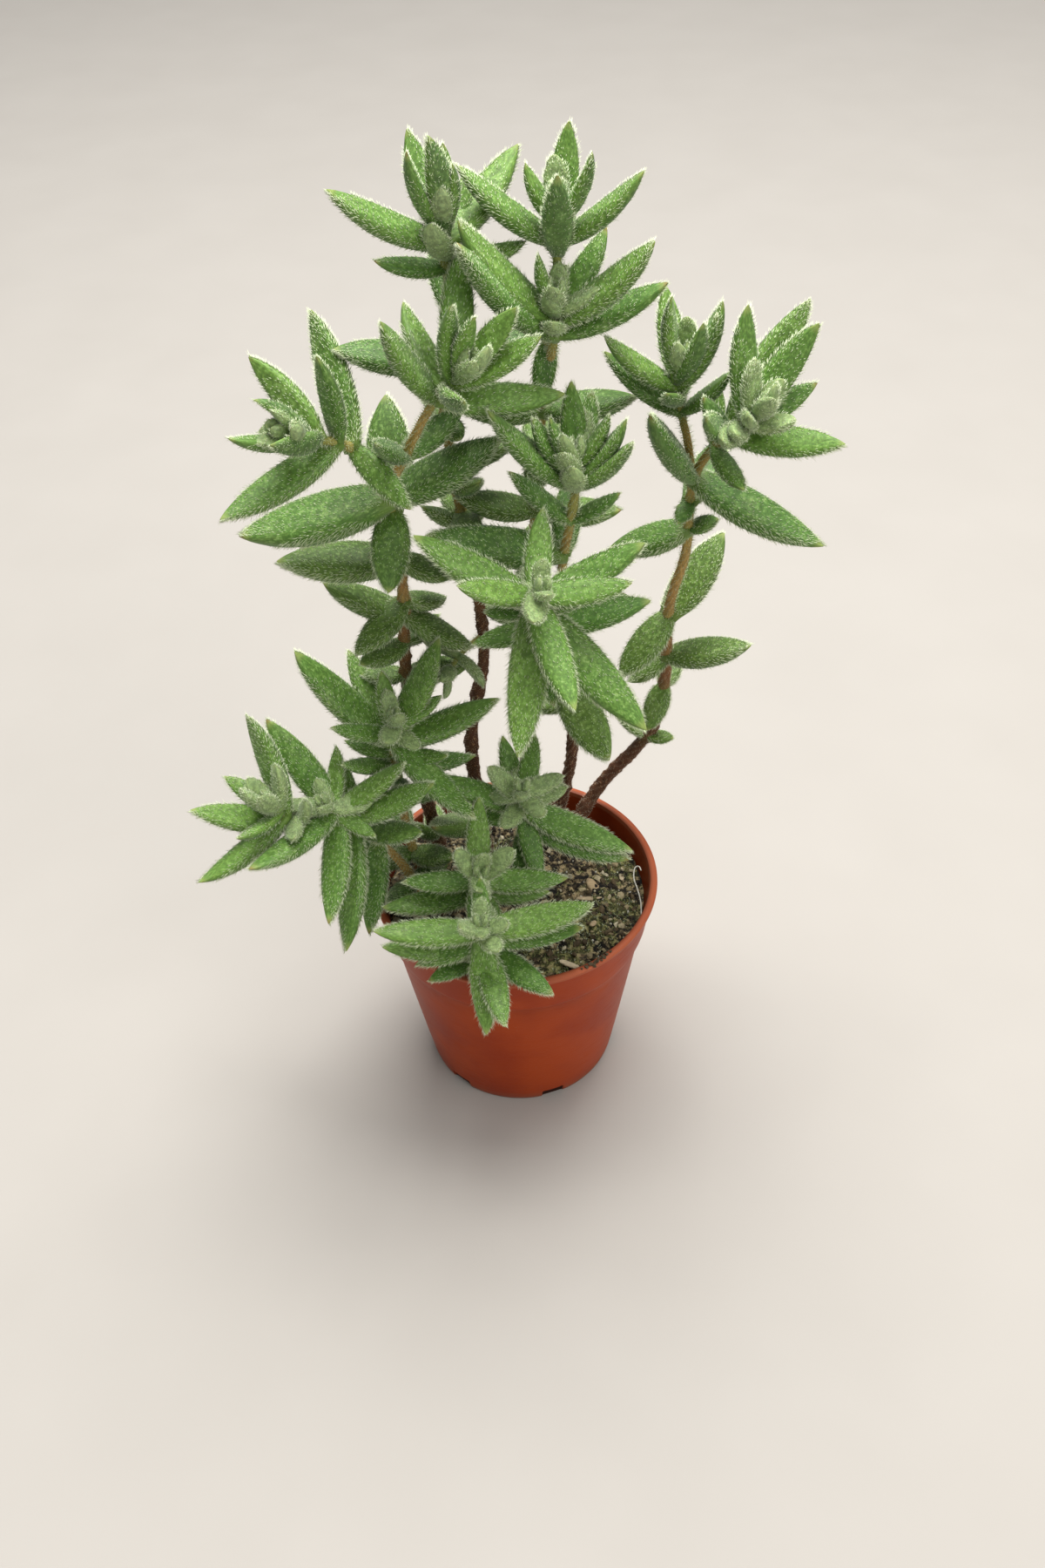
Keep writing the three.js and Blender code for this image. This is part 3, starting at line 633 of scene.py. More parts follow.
# Leaves: thick, pointed, flatter above and rounded below
leafLook = {
    "rings": 16,
    "ringsToTip": 0.92,  # under 1 moves the rings towards the tip
    "ringsToEnds": 0.65,  # how much closer they stand at both ends
    "sides": 14,
    "lineSteps": 40,
    "widths": ([0, 0.05, 0.15, 0.28, 0.42, 0.58, 0.72, 0.84, 0.93, 0.98, 1],
               [0.5, 0.6, 0.8, 0.95, 1, 0.94, 0.79, 0.56, 0.31, 0.13, 0.04]),
    "upper": 0.5,  # height over and depth under the middle line, as shares of the half width
    "lower": 0.76,
    "boxy": (0.9, 0.8, 0.9),  # section across, above and below; 1 is an ellipse, less is boxier
    "hollow": 0.22,  # shallow trough along the upper face
    "sink": 0.5,  # of the foot into the stem
    "tipLength": 0.12,
    "twist": 9,  # degrees at most, either way
    "twistStep": 2.4,  # radians of its swing from one leaf to the next
    "girth": 1.14,  # times the half width of the frame's leaves
    "budGirth": 1.42,
    "budBelow": 8,  # further down a small leaf is slim like the rest
    "budWidths": ([0, 0.08, 0.25, 0.5, 0.72, 0.86, 0.95, 1], [0.62, 0.8, 0.96, 1, 0.88, 0.66, 0.4, 0.12]),
    "halfGirth": 2.6,  # half the way round a leaf, against its half width
    "streaksApart": 7.3,  # so that no two leaves share their streaks
    "oldBelow": 45,  # this far below the tip a leaf is fully old
}


def isPlump(leaf):
    return leaf["bud"] and leaf["below"] < leafLook["budBelow"]


# a repeatable share between 0 and 1 for a leaf
def toneOf(number):
    return (math.sin(number * 12.9898) * 43758.5453) % 1


# points of a leaf as rings from foot to tip, how far along each ring is, and how high each side
def leafGrid(leaf, number):
    spots, up, outward = leafLine(leaf["point"], leaf["along"], leaf["turn"], leaf["length"],
                                  leaf["opening"], leaf["below"], leafLook["lineSteps"])
    even = np.linspace(0, 1, leafLook["rings"]) ** leafLook["ringsToTip"]
    finer = leafLook["ringsToEnds"]
    t = (1 - finer) * even + finer * (1 - np.cos(np.pi * even)) / 2
    middle = pointsAt(spots, t)
    middle[0] -= unit(spots[1] - spots[0]) * leafLook["sink"]
    up = unit(pointsAt(up, t))
    sideways = np.broadcast_to(unit(np.cross(leaf["along"], outward)), up.shape)
    twist = np.radians(leafLook["twist"] * math.sin(number * leafLook["twistStep"]) * t)[:, None]
    sideways, up = (sideways * np.cos(twist) + up * np.sin(twist),
                    up * np.cos(twist) - sideways * np.sin(twist))
    angle = anglesRound(leafLook["sides"])
    across, above, under = leafLook["boxy"]
    x = np.sign(np.cos(angle)) * np.abs(np.cos(angle)) ** across
    y = np.sin(angle)
    hollow = 1 - leafLook["hollow"] * (1 - x**2) ** 2
    y = np.where(y > 0, leafLook["upper"] * np.abs(y) ** above * hollow,
                 -leafLook["lower"] * np.abs(y) ** under)
    half = leaf["halfWidth"] * leafLook["budGirth" if isPlump(leaf) else "girth"]
    wide = (half * np.interp(t, *leafLook["budWidths" if isPlump(leaf) else "widths"]))[:, None, None]
    grid = middle[:, None] + wide * (x[None, :, None] * sideways[:, None] + y[None, :, None] * up[:, None])
    return grid, t, y


# outward normals and the direction towards the tip at every point of a grid of rings
def gridWays(grid):
    towardsTip = unit(np.gradient(grid, axis=0))
    around = np.roll(grid, -1, axis=1) - np.roll(grid, 1, axis=1)
    return unit(np.cross(around, towardsTip)), towardsTip


def addLeaf(heap, leaf, number, grid, t, y):
    rings, sides = grid.shape[:2]
    end = grid[-1].mean(0)
    tip = end + unit(end - grid[-2].mean(0)) * leafLook["tipLength"]
    points, faces = closedGrid(grid, grid[0].mean(0), tip)
    along = np.append(np.repeat(t, sides), [0, 1])
    upper = np.append(np.tile(y / leafLook["lower"], rings), [0, 0])
    around = np.append(np.tile(np.arange(sides) / sides, rings), [0, 0])
    girth = leafLook["halfGirth"] * leaf["halfWidth"]
    apart = np.full(len(along), number * leafLook["streaksApart"])
    streak = np.stack([along * leaf["length"], around * girth, apart], 1)
    heap.add(points, faces, along=along, upper=upper, streak=streak, tone=toneOf(number),
             age=min(1, leaf["below"] / leafLook["oldBelow"]), bud=float(isPlump(leaf)))


# Bristles: stiff pale hairs that lean towards the tip, longest along the edges
bristleLook = {
    "perArea": 5.7,  # on a square millimetre of leaf
    "onBuds": 1.8,  # times as many on buds
    "meanWidth": 0.78,  # of a leaf against its widest, to reckon its area
    "stray": 0.45,  # from even places, in mean distances
    "toEdge": 0.4,  # how much closer they stand at the edges
    "atPoint": 0.25,  # how densely they stand on the narrowest part, against the widest
    "stretch": (0.05, 0.99),  # along the leaf
    "length": 0.74,
    "longLeaf": (0.72, 60, 1.05),  # share on a leaf of no length, length that adds one, and the most
    "lengthSpread": 0.18,
    "lengthLimits": (0.5, 1.5),
    "foot": 0.056,
    "sunk": 0.08,
    "lift": 0.75,  # how far they stand off, against how far they lean to the tip
    "lean": 0.8,
    "wild": 0.16,
    "upperShare": 0.56,  # length on the upper face, the lower and the edge
    "lowerShare": 0.76,
    "edgeShare": 1.22,
    "edgeNarrow": 6,
    "toneSpread": 0.2,
    "stemPerArea": 3.4,
    "stemMeanRadius": 1.3,  # to reckon a stem's area
    "stemLength": 0.8,
    "stemLengthSpread": 0.22,
    "stemLean": 0.35,
    "stemWild": 0.2,
    "stemFoot": 0.9,  # times as thick as on a leaf
    "shorterOnWood": 0.45,
    "leafStep": 0.137,  # shift of the even places from one leaf or stem to the next
    "stemStep": 0.31,
    "pickStart": 0.37,
    "spotSeed": 3000,
    "wildSeed": 0,
    "stemSeed": 500,
}
spikeFaces = ((0, 1, 3), (1, 2, 3), (2, 0, 3), (0, 2, 1))  # corners 0 to 2 of its foot, and 3 at its tip
slantWay = np.array([0.31, 0.52, 0.79])  # any way that no bristle points


def addBristles(heap, spots, ways, lengths, foot, **values):
    ways = unit(ways)
    side = unit(np.cross(ways, slantWay))
    other = np.cross(ways, side)
    corners = []
    for turn in anglesRound(3):
        offset = foot * (math.cos(turn) * side + math.sin(turn) * other)
        corners.append(spots - ways * bristleLook["sunk"] + offset)
    points = np.stack([*corners, spots + ways * lengths[:, None]], 1).reshape(-1, 3)
    first = np.arange(len(spots))[:, None] * 4
    faces = np.concatenate([first + np.array(face) for face in spikeFaces])
    fine = {name: np.repeat(np.broadcast_to(v, len(spots)), 4) for name, v in values.items()}
    heap.add(points, [faces], root=np.tile([0, 0, 0, 1], len(spots)), **fine)


# points of a grid at shares of its rings and of the way round
def onGrid(grid, u, v):
    rings, sides = grid.shape[:2]
    at = u * (rings - 1)
    r = np.minimum(at.astype(int), rings - 2)
    s = (v * sides).astype(int) % sides
    fu = (at - r)[:, None]
    fv = (v * sides % 1)[:, None]
    low = grid[r, s] * (1 - fv) + grid[r, (s + 1) % sides] * fv
    high = grid[r + 1, s] * (1 - fv) + grid[r + 1, (s + 1) % sides] * fv
    return low * (1 - fu) + high * fu


def wildLength(draws, share):
    return np.clip(1 + share * draws, *bristleLook["lengthLimits"])


def wildTone(draws):
    return np.clip(0.5 + bristleLook["toneSpread"] * draws, 0, 1)


def bristleLeaf(heap, leaf, number, grid, t):
    look = bristleLook
    area = leaf["length"] * leaf["halfWidth"] * leafLook["halfGirth"] * look["meanWidth"] * 2
    count = int(area * look["perArea"] * (look["onBuds"] if leaf["bud"] else 1))
    draws = np.random.default_rng(look["spotSeed"] + number).normal(size=(count, 2))
    uv = (spread(count, (number * look["leafStep"]) % 1) + draws * look["stray"] / math.sqrt(count)) % 1
    first, last = look["stretch"]
    u = first + (last - first) * uv[:, 0]
    v = (uv[:, 1] - look["toEdge"] * np.sin(4 * np.pi * uv[:, 1]) / (4 * np.pi)) % 1
    wide = np.interp(np.interp(u, np.linspace(0, 1, len(t)), t), *leafLook["widths"])
    picked = spread(count, look["pickStart"])[:, 1] < look["atPoint"] + (1 - look["atPoint"]) * wide
    u, v = u[picked], v[picked]
    normals, towardsTip = gridWays(grid)
    spots = onGrid(grid, u, v)
    normal = unit(onGrid(normals, u, v))
    tipward = unit(onGrid(towardsTip, u, v))
    wild = np.random.default_rng(look["wildSeed"] + number).normal(size=(len(u), 4))
    ways = normal * look["lift"] + tipward * look["lean"] + look["wild"] * wild[:, :3]
    angle = 2 * np.pi * v
    edge = np.abs(np.cos(angle)) ** look["edgeNarrow"]
    face = np.where(np.sin(angle) > 0, look["upperShare"], look["lowerShare"])
    least, over, most = look["longLeaf"]
    size = look["length"] * min(most, least + leaf["length"] / over)
    lengths = size * (face + (look["edgeShare"] - face) * edge)
    lengths = lengths * wildLength(wild[:, 3], look["lengthSpread"])
    addBristles(heap, spots, ways, lengths, look["foot"], tone=wildTone(wild[:, 0]), wood=0.0)


# Stems: woody and rough below, smooth and green at the tip, a little swollen at each pair
stemLook = {
    "sides": 16,
    "ringEvery": 0.65,
    "pathSteps": 24,
    "barkDepth": 0.42,
    "barkSize": (0.45, 1.0),  # of its grain, across the stem and along it
    "barkOnGreen": 0.25,  # share of the depth that young wood has
    "barkSeed": 3.1,
    "nodeSwell": 0.22,
    "nodeWidth": 0.9,
    "nodesFrom": 6,  # nearer the tip than this a pair leaves no swelling
    "greenWidth": 2.2,  # of the green that stays at a pair
    "greenShoots": {"B": 0.35, "A": 0.5},  # slower to turn brown than the others
    "girth": 0.94,  # times that of the frame's stems
    "woodyFrom": 30,  # below the tip, and the distance over which wood gets old
    "woodyOver": 50,
    "scarEvery": 5.5,  # rings left on old wood by shed leaves
    "scarWidth": 0.5,
    "scarSwell": 0.26,
    "scarStray": (1.3, 0.6),  # how far they stray from even places, and how fast that changes
}


# a hump at every place where there is 0, as wide as given
def hump(apart, width):
    return np.exp(-((apart / width) ** 2))


# points of a stem as rings from foot to tip; for each ring its distance below the tip,
# how woody it is and how near a leaf pair
def stemGrid(shoot, number):
    line = smoothPath(shoot["path"], stemLook["pathSteps"])
    steps = np.linalg.norm(np.diff(line, axis=0), axis=1)
    reach = np.concatenate([[0], np.cumsum(steps)])
    stops = np.linspace(0, reach[-1], int(reach[-1] / stemLook["ringEvery"]) + 2)
    middle = np.stack([np.interp(stops, reach, line[:, k]) for k in range(3)], 1)
    across, other = acrossOf(unit(np.gradient(middle, axis=0)))
    below = reach[-1] - stops
    share = np.interp(stops, reach, np.linspace(0, 1, len(line)))
    radius = stemRadius(shoot, share) * stemLook["girth"]
    knot = np.zeros(len(below))
    for pair in shoot["pairs"]:
        if pair[0] > stemLook["nodesFrom"]:
            radius = radius + stemLook["nodeSwell"] * hump(below - pair[0], stemLook["nodeWidth"])
        knot = np.maximum(knot, hump(below - pair[0], stemLook["greenWidth"]))
    woody = np.clip((below - stemLook["woodyFrom"]) / stemLook["woodyOver"], 0, 1)
    angle = anglesRound(stemLook["sides"])
    wide, long = stemLook["barkSize"]
    flat = np.stack([np.repeat(stops / long, len(angle)), np.tile(np.cos(angle), len(stops)) / wide,
                     np.tile(np.sin(angle), len(stops)) / wide], 1)
    rough = ruggedness(flat, 1, stemLook["barkSeed"] + number).reshape(len(stops), -1)
    rough = rough * stemLook["barkDepth"]
    every = stemLook["scarEvery"]
    stray, rate = stemLook["scarStray"]
    fromScar = (below + stray * np.sin(rate * below + number)) % every - every / 2
    radius = radius + stemLook["scarSwell"] * woody * hump(fromScar, stemLook["scarWidth"])
    rough = rough * (stemLook["barkOnGreen"] + (1 - stemLook["barkOnGreen"]) * woody[:, None])
    ways = waysRound(across, other, stemLook["sides"])
    grid = middle[:, None] + (radius[:, None] + rough)[:, :, None] * ways
    return grid, below, woody, knot


def addStem(heap, shoot, grid, below, woody, knot):
    points, faces = closedGrid(grid, grid[0].mean(0), grid[-1].mean(0))
    slow = stemLook["greenShoots"].get(shoot["name"], 1)
    fine = {name: np.append(np.repeat(v, grid.shape[1]), [v[0], v[-1]])
            for name, v in (("below", below * slow), ("woody", woody ** (1 / slow)), ("knot", knot))}
    heap.add(points, faces, **fine)


def bristleStem(heap, grid, below, woody, number, above):
    look = bristleLook
    count = int(below[0] * 2 * math.pi * look["stemMeanRadius"] * look["stemPerArea"])
    uv = spread(count, (number * look["stemStep"]) % 1)
    u, v = uv[:, 0], uv[:, 1]
    normals, towardsTip = gridWays(grid)
    spots = onGrid(grid, u, v)
    wild = np.random.default_rng(look["stemSeed"] + number).normal(size=(count, 4))
    ways = unit(onGrid(normals, u, v)) + look["stemLean"] * unit(onGrid(towardsTip, u, v))
    ways = ways + look["stemWild"] * wild[:, :3]
    wood = np.interp(u, np.linspace(0, 1, len(woody)), woody)
    lengths = look["stemLength"] * (1 - look["shorterOnWood"] * wood)
    lengths = lengths * wildLength(wild[:, 3], look["stemLengthSpread"])
    shown = spots[:, 2] > above
    addBristles(heap, spots[shown], ways[shown], lengths[shown], look["foot"] * look["stemFoot"],
                tone=wildTone(wild[:, 0])[shown], wood=wood[shown])


# Pot: thin moulded plastic with a thick lip, a collar band and drain notches round the foot
potLook = {
    "sides": 192,
    # radius, height: out from the middle of the underside, up the outside, over the lip and down inside
    "outline": [
        (0, 0), (9, 0), (15, 0), (18.3, 0), (18.8, 0.12), (19.05, 0.5), (19.3, 1.5), (20.4, 8), (21.5, 15),
        (22.6, 22), (23.6, 28.5), (24.5, 34.6), (24.86, 36.7), (25.0, 36.95), (25.45, 37.3), (25.6, 37.6),
        (25.75, 38.2), (26.25, 41.8), (26.72, 45.2), (26.84, 45.75), (27.1, 46.0), (27.42, 46.12),
        (27.52, 46.35), (27.5, 46.75), (27.3, 46.96), (27.0, 47.02), (26.4, 47.02), (26.12, 46.92),
        (25.98, 46.6), (25.6, 44), (24.7, 40), (23.8, 36.5), (22.6, 30), (20.5, 17), (18.1, 2.6), (17.6, 2.4),
        (10, 2.4), (0, 2.4),
    ],
    "wobble": 0.07,  # how far the thin wall is out of round at the lip
    "wobbleTurn": 0.6,  # radians
    "threeSided": 0.4,  # of three humps round the wall, against the two of the wobble
    "roundUpTo": 20,  # height below which it is round
    "height": 47,
    "notches": 6,
    "notchSize": (2, 4.6, 5.2),  # into the wall, along it, and twice the height
    "notchTurn": -72,
    "notchRound": (0.08, 3),  # share of the notch that its edges are rounded by, and steps
    "footRadius": 19.4,
    "sharpFrom": 40,  # degrees between faces that leave an edge sharp
}


def makePot():
    outline = np.array(potLook["outline"])
    outer = outline[1:-1]
    angle = anglesRound(potLook["sides"])
    out = np.cos(2 * angle + potLook["wobbleTurn"]) + potLook["threeSided"] * np.cos(3 * angle)
    upper = outer[:, 1] - potLook["roundUpTo"]
    share = np.clip(upper / (potLook["height"] - potLook["roundUpTo"]), 0, 1)[:, None]
    radius = outer[:, :1] + potLook["wobble"] * out * share
    height = np.repeat(outer[:, 1:], len(angle), 1)
    grid = np.stack([radius * np.cos(angle), radius * np.sin(angle), height], 2)
    heap = Heap()
    heap.add(*closedGrid(grid, [0, 0, 0], [0, 0, outline[-1, 1]]))
    pot = heap.make("nursery_pot", potFinish())
    cutNotches(pot)
    pot.data.polygons.foreach_set("use_smooth", np.full(len(pot.data.polygons), True))
    pot.data.set_sharp_from_angle(angle=math.radians(potLook["sharpFrom"]))
    keep(pot, "pot", "pot")
    print("pot:", len(pot.data.polygons), "faces")


def cutNotches(pot):
    cutters = []
    for i in range(potLook["notches"]):
        turn = math.radians(potLook["notchTurn"] + 360 * i / potLook["notches"])
        place = Matrix.Rotation(turn, 4, "Z") @ Matrix.Translation((potLook["footRadius"] * mm, 0, 0))
        bpy.ops.mesh.primitive_cube_add(size=1)
        cutter = bpy.context.object
        cutter.matrix_world = place @ Matrix.Diagonal((*(side * mm for side in potLook["notchSize"]), 1))
        bevel = cutter.modifiers.new("rounded", "BEVEL")
        bevel.width, bevel.segments = potLook["notchRound"]
        cutters.append(cutter)
    for cutter in cutters:
        cut = pot.modifiers.new("notch", "BOOLEAN")
        cut.object, cut.operation, cut.solver = cutter, "DIFFERENCE", "EXACT"
    applyModifiers(pot)
    for cutter in cutters:
        bpy.data.objects.remove(cutter)


def applyModifiers(piece):
    bpy.context.view_layer.update()
    shown = piece.evaluated_get(bpy.context.evaluated_depsgraph_get())
    mesh = bpy.data.meshes.new_from_object(shown)
    piece.modifiers.clear()
    piece.data = mesh


# Soil: crumbly dark peat, in places under a thin green growth, with grit, chips and crumbs on it
soilLook = {
    "top": 43.0,
    "radius": 25.1,
    "rings": 74,
    "ringsToEdge": 0.85,  # under 1 moves the rings towards the pot's wall
    "hub": 0.012,  # radius of the innermost ring, as a share
    "sides": 190,
    "bottom": 30,
    "bottomRadius": 22.2,
    "edgeDrop": 0.9,
    "settled": 0.35,  # how far the bumps stand lower than they would
    # height, size and seed of its swells, clods and crumbs, and of the ragged edge of the green
    "heave": (0.9, 7, 4.2),
    "clods": (1.28, 2.1, 9.4),
    "crumbs": (0.34, 0.75, 2.2),
    "raggedGreen": (1.1, 1.7, 7.7),
    "greenStrength": 2.2,
}
# where green covers the soil: x, y, radius
greenPatches = [(13, -10, 8), (19, -6, 6), (8, -19, 5), (20, 5, 5), (-3, 10, 6), (-15, -12, 5), (2, -14, 5)]


def bumps(kind, x, y):
    height, size, seed = soilLook[kind]
    return height * ruggedness(np.stack([x, y, np.zeros_like(x)], 1), size, seed)


def soilHeight(x, y):
    away = np.hypot(x, y) / soilLook["radius"]
    height = soilLook["top"] - soilLook["settled"] - soilLook["edgeDrop"] * away**4
    return height + bumps("heave", x, y) + np.abs(bumps("clods", x, y)) + bumps("crumbs", x, y)


def greenAt(x, y):
    green = np.zeros_like(x)
    for px, py, radius in greenPatches:
        green = np.maximum(green, 1 - np.hypot(x - px, y - py) / radius)
    return np.clip(soilLook["greenStrength"] * green + bumps("raggedGreen", x, y), 0, 1)


def makeSoil():
    rings, sides = soilLook["rings"], soilLook["sides"]
    angle = anglesRound(sides)
    radius = soilLook["radius"] * np.linspace(1, soilLook["hub"], rings) ** soilLook["ringsToEdge"]
    x = (radius[:, None] * np.cos(angle)).ravel()
    y = (radius[:, None] * np.sin(angle)).ravel()
    top = np.stack([x, y, soilHeight(x, y)], 1)
    low, bottom = soilLook["bottomRadius"], soilLook["bottom"]
    skirt = np.stack([low * np.cos(angle), low * np.sin(angle), np.full(sides, bottom)], 1)
    grid = np.vstack([skirt, top]).reshape(rings + 1, sides, 3)
    points, faces = closedGrid(grid, [0, 0, bottom], [0, 0, top[-1, 2]])
    heap = Heap()
    heap.add(points, faces, green=np.concatenate([np.zeros(sides), greenAt(x, y), [0, 0]]))
    soil = heap.make("soil_bed", soilFinish())
    keep(soil, "soil", "soil")
    return heap.triangles()


# even places on a disc
def discSpots(count, radius, start):
    uv = spread(count, start)
    away = radius * np.sqrt(uv[:, 0])
    return away * np.cos(2 * np.pi * uv[:, 1]), away * np.sin(2 * np.pi * uv[:, 1])


# Lumps: small balls of twenty faces with a rough skin
golden = (1 + 5**0.5) / 2
ballPoints = unit(np.array([(-1, golden, 0), (1, golden, 0), (-1, -golden, 0), (1, -golden, 0),
                            (0, -1, golden), (0, 1, golden), (0, -1, -golden), (0, 1, -golden),
                            (golden, 0, -1), (golden, 0, 1), (-golden, 0, -1), (-golden, 0, 1)], float))
ballFaces = np.array([(0, 11, 5), (0, 5, 1), (0, 1, 7), (0, 7, 10), (0, 10, 11), (1, 5, 9), (5, 11, 4),
                      (11, 10, 2), (10, 7, 6), (7, 1, 8), (3, 9, 4), (3, 4, 2), (3, 2, 6), (3, 6, 8),
                      (3, 8, 9), (4, 9, 5), (2, 4, 11), (6, 2, 10), (8, 6, 7), (9, 8, 1)])
lumpRough = 0.28
lumpTurn = 6.28  # radians at most
lumpSeed = 900


def lumpPoints(number, stretch):
    wild = np.random.default_rng(lumpSeed + number)
    points = ballPoints * (1 + lumpRough * wild.normal(size=(len(ballPoints), 1)))
    turn = np.array(Matrix.Rotation(wild.uniform(0, lumpTurn), 3, Vector(wild.normal(size=3))))
    return (points * stretch) @ turn.T


# lumps strewn over the soil
def addLumps(heap, look):
    x, y = discSpots(look["count"], soilLook["radius"] - look["fromWall"], look["start"])
    wild = np.random.default_rng(look["seed"]).uniform(size=(len(x), 4))
    x, y = x + look["stray"] * (wild[:, 2] - 0.5), y + look["stray"] * (wild[:, 3] - 0.5)
    low, high = look["size"]
    sizes = low + (high - low) * wild[:, 0] ** look["small"]
    heights = soilHeight(x, y) + look["raised"] + look["raisedBySize"] * sizes
    for i, size in enumerate(sizes):
        lump = lumpPoints(look["firstLump"] + i, size * np.array(look["shape"]))
        heap.add(lump + [x[i], y[i], heights[i]], [ballFaces], tone=wild[i, 1])


# Crumbs of peat on the soil, and a few caught on the lip
crumbLook = {
    "count": 900,
    "start": 0.1,
    "size": (0.22, 1.0),
    "small": 2.2,  # over 1 makes small ones the more common
    "shape": (1, 0.8, 0.65),
    "fromWall": 0.8,
    "stray": 1,  # moved from even places by up to half of this either way
    "raised": 0,
    "raisedBySize": 0.25,
    "seed": 77,
    "firstLump": 0,
    "firstSpilled": 700,
    "spilledShape": (1, 0.8, 0.7),
    "spilledTone": 0.3,
}
# caught on the lip at the front right: x, y, z, size
spilledCrumbs = [
    (14.2, -22.6, 46.9, 0.75), (15.1, -21.9, 47.2, 0.6), (13.3, -23.3, 47.3, 0.5), (15.9, -21.5, 46.8, 0.7),
    (12.5, -23.9, 47.2, 0.45), (16.4, -21.0, 47.2, 0.4), (14.7, -22.8, 47.5, 0.45), (13.7, -23.0, 46.6, 0.8),
    (15.4, -22.4, 47.2, 0.35), (11.6, -24.2, 47.2, 0.3), (17.2, -20.4, 47.2, 0.3), (14.0, -23.6, 47.2, 0.4),
]


def makeCrumbs():
    heap = Heap()
    addLumps(heap, crumbLook)
    for i, (px, py, pz, size) in enumerate(spilledCrumbs):
        lump = lumpPoints(crumbLook["firstSpilled"] + i, size * np.array(crumbLook["spilledShape"]))
        heap.add(lump + [px, py, pz], [ballFaces], tone=crumbLook["spilledTone"])
    crumbs = heap.make("soil_crumbs", crumbFinish(), smooth=False)
    keep(crumbs, "soil")
    return heap.triangles()


# Grit: pale specks
gritLook = {
    "count": 150,
    "start": 0.6,
    "size": (0.12, 0.34),
    "small": 1.5,
    "shape": (1, 0.8, 0.7),
    "fromWall": 1,
    "stray": 1.4,
    "raised": 0.12,
    "raisedBySize": 0,
    "seed": 78,
    "firstLump": 2000,
}


def makeGrit():
    heap = Heap()
    addLumps(heap, gritLook)
    grit = heap.make("pale_grit", gritFinish(), smooth=False)
    keep(grit, "soil")
    return heap.triangles()


# Bark chips: slim, thin towards their ends and a little bent
chipLook = {
    "rings": 9,
    "sides": 8,
    "endsThin": (2.6, 0.93),  # how late they taper, and how far
    "bend": 0.036,  # of the length
    "roughness": (0.3, 0.5, 3.3),  # depth as a share, size and seed
    "raised": 0.35,
    "toneStep": 0.37,
    # x, y, turn in degrees, length, width, thickness, tilt in degrees
    "chips": [
        (15.1, 0.1, -60, 3.6, 2.1, 0.8, 10), (14.0, -3.4, 4, 4.4, 1.0, 0.5, 4),
        (9.5, -20.0, -18, 3.8, 1.3, 0.6, 14), (14.6, -9.8, 60, 1.9, 1.1, 0.5, 12),
        (-18, -8, 70, 3.0, 1.4, 0.5, 6), (5, 17, 20, 3.4, 1.2, 0.5, 8),
        (-8, 16, 120, 2.6, 1.0, 0.4, -6), (21, 3, 95, 2.4, 1.0, 0.4, 10),
    ],
}


def makeChips():
    heap = Heap()
    rings, sides = chipLook["rings"], chipLook["sides"]
    late, far = chipLook["endsThin"]
    depth, grainSize, seed = chipLook["roughness"]
    u = np.linspace(-1, 1, rings)
    angle = anglesRound(sides)
    wide = np.sqrt(1 - np.abs(u) ** late * far)[:, None]
    for i, (x, y, turn, length, width, thick, tilt) in enumerate(chipLook["chips"]):
        bend = chipLook["bend"] * length * (u**2)[:, None]
        grid = np.stack([np.repeat(u[:, None] * length / 2, sides, 1), wide * np.cos(angle) * width / 2,
                         wide * np.sin(angle) * thick / 2 + bend], 2)
        rough = ruggedness(grid.reshape(-1, 3), grainSize, seed + i).reshape(rings, sides, 1)
        grid = grid * (1 + depth * rough)
        place = Matrix.Rotation(math.radians(turn), 3, "Z") @ Matrix.Rotation(math.radians(tilt), 3, "Y")
        height = soilHeight(np.array([x], float), np.array([y], float))[0] + chipLook["raised"]
        grid = grid @ np.array(place).T + [x, y, height]
        heap.add(*closedGrid(grid, grid[0].mean(0), grid[-1].mean(0)), tone=(i * chipLook["toneStep"]) % 1)
    chips = heap.make("bark_chips", chipFinish())
    keep(chips, "soil")
    return heap.triangles()


# Moss: short blades where the soil is green
mossLook = {
    "count": 5200,  # places tried; only those on green grow a tuft
    "start": 0.3,
    "length": (0.35, 0.95),
    "foot": 0.13,
    "sunk": 0.1,
    "blades": 2,
    "fromWall": 0.6,
    "lean": 0.7,
    "rise": 0.6,
    "grownFrom": (0.25, 0.5),  # green that a tuft needs: the least, and what a draw may add
    "onThinGreen": 0.6,  # share of the length that blades have where green is thin
    "seed": 79,
}


def makeMoss():
    look = mossLook
    heap = Heap()
    x, y = discSpots(look["count"], soilLook["radius"] - look["fromWall"], look["start"])
    wild = np.random.default_rng(look["seed"]).uniform(size=(len(x), 5))
    green = greenAt(x, y)
    least, more = look["grownFrom"]
    grown = green > least + more * wild[:, 0]
    x, y, wild, green = x[grown], y[grown], wild[grown], green[grown]
    low, high = look["length"]
    thin = look["onThinGreen"]
    foot = np.stack([x, y, soilHeight(x, y) - look["sunk"]], 1)
    lengths = (low + (high - low) * wild[:, 2]) * (thin + (1 - thin) * green)
    for blade in range(look["blades"]):
        turn = 2 * np.pi * (wild[:, 1] + blade / look["blades"])
        ways = [look["lean"] * np.cos(turn), look["lean"] * np.sin(turn), look["rise"] + wild[:, 3]]
        addBristles(heap, foot, np.stack(ways, 1), lengths, look["foot"], tone=wild[:, 4])
    moss = heap.make("moss", mossFinish())
    keep(moss, "soil")
    return heap.triangles()


# One pale strand against the wall at the right
strandLook = {
    "path": [(24.0, -8.0, 43.1), (24.1, -5.0, 43.6), (23.7, -2.0, 44.0), (23.2, 0.4, 44.5),
             (23.5, 2.4, 45.2), (24.3, 2.6, 45.5), (24.7, 1.6, 45.4)],
    "pathSteps": 8,
    "radius": 0.13,
    "sides": 6,
    "tone": 0.9,
}


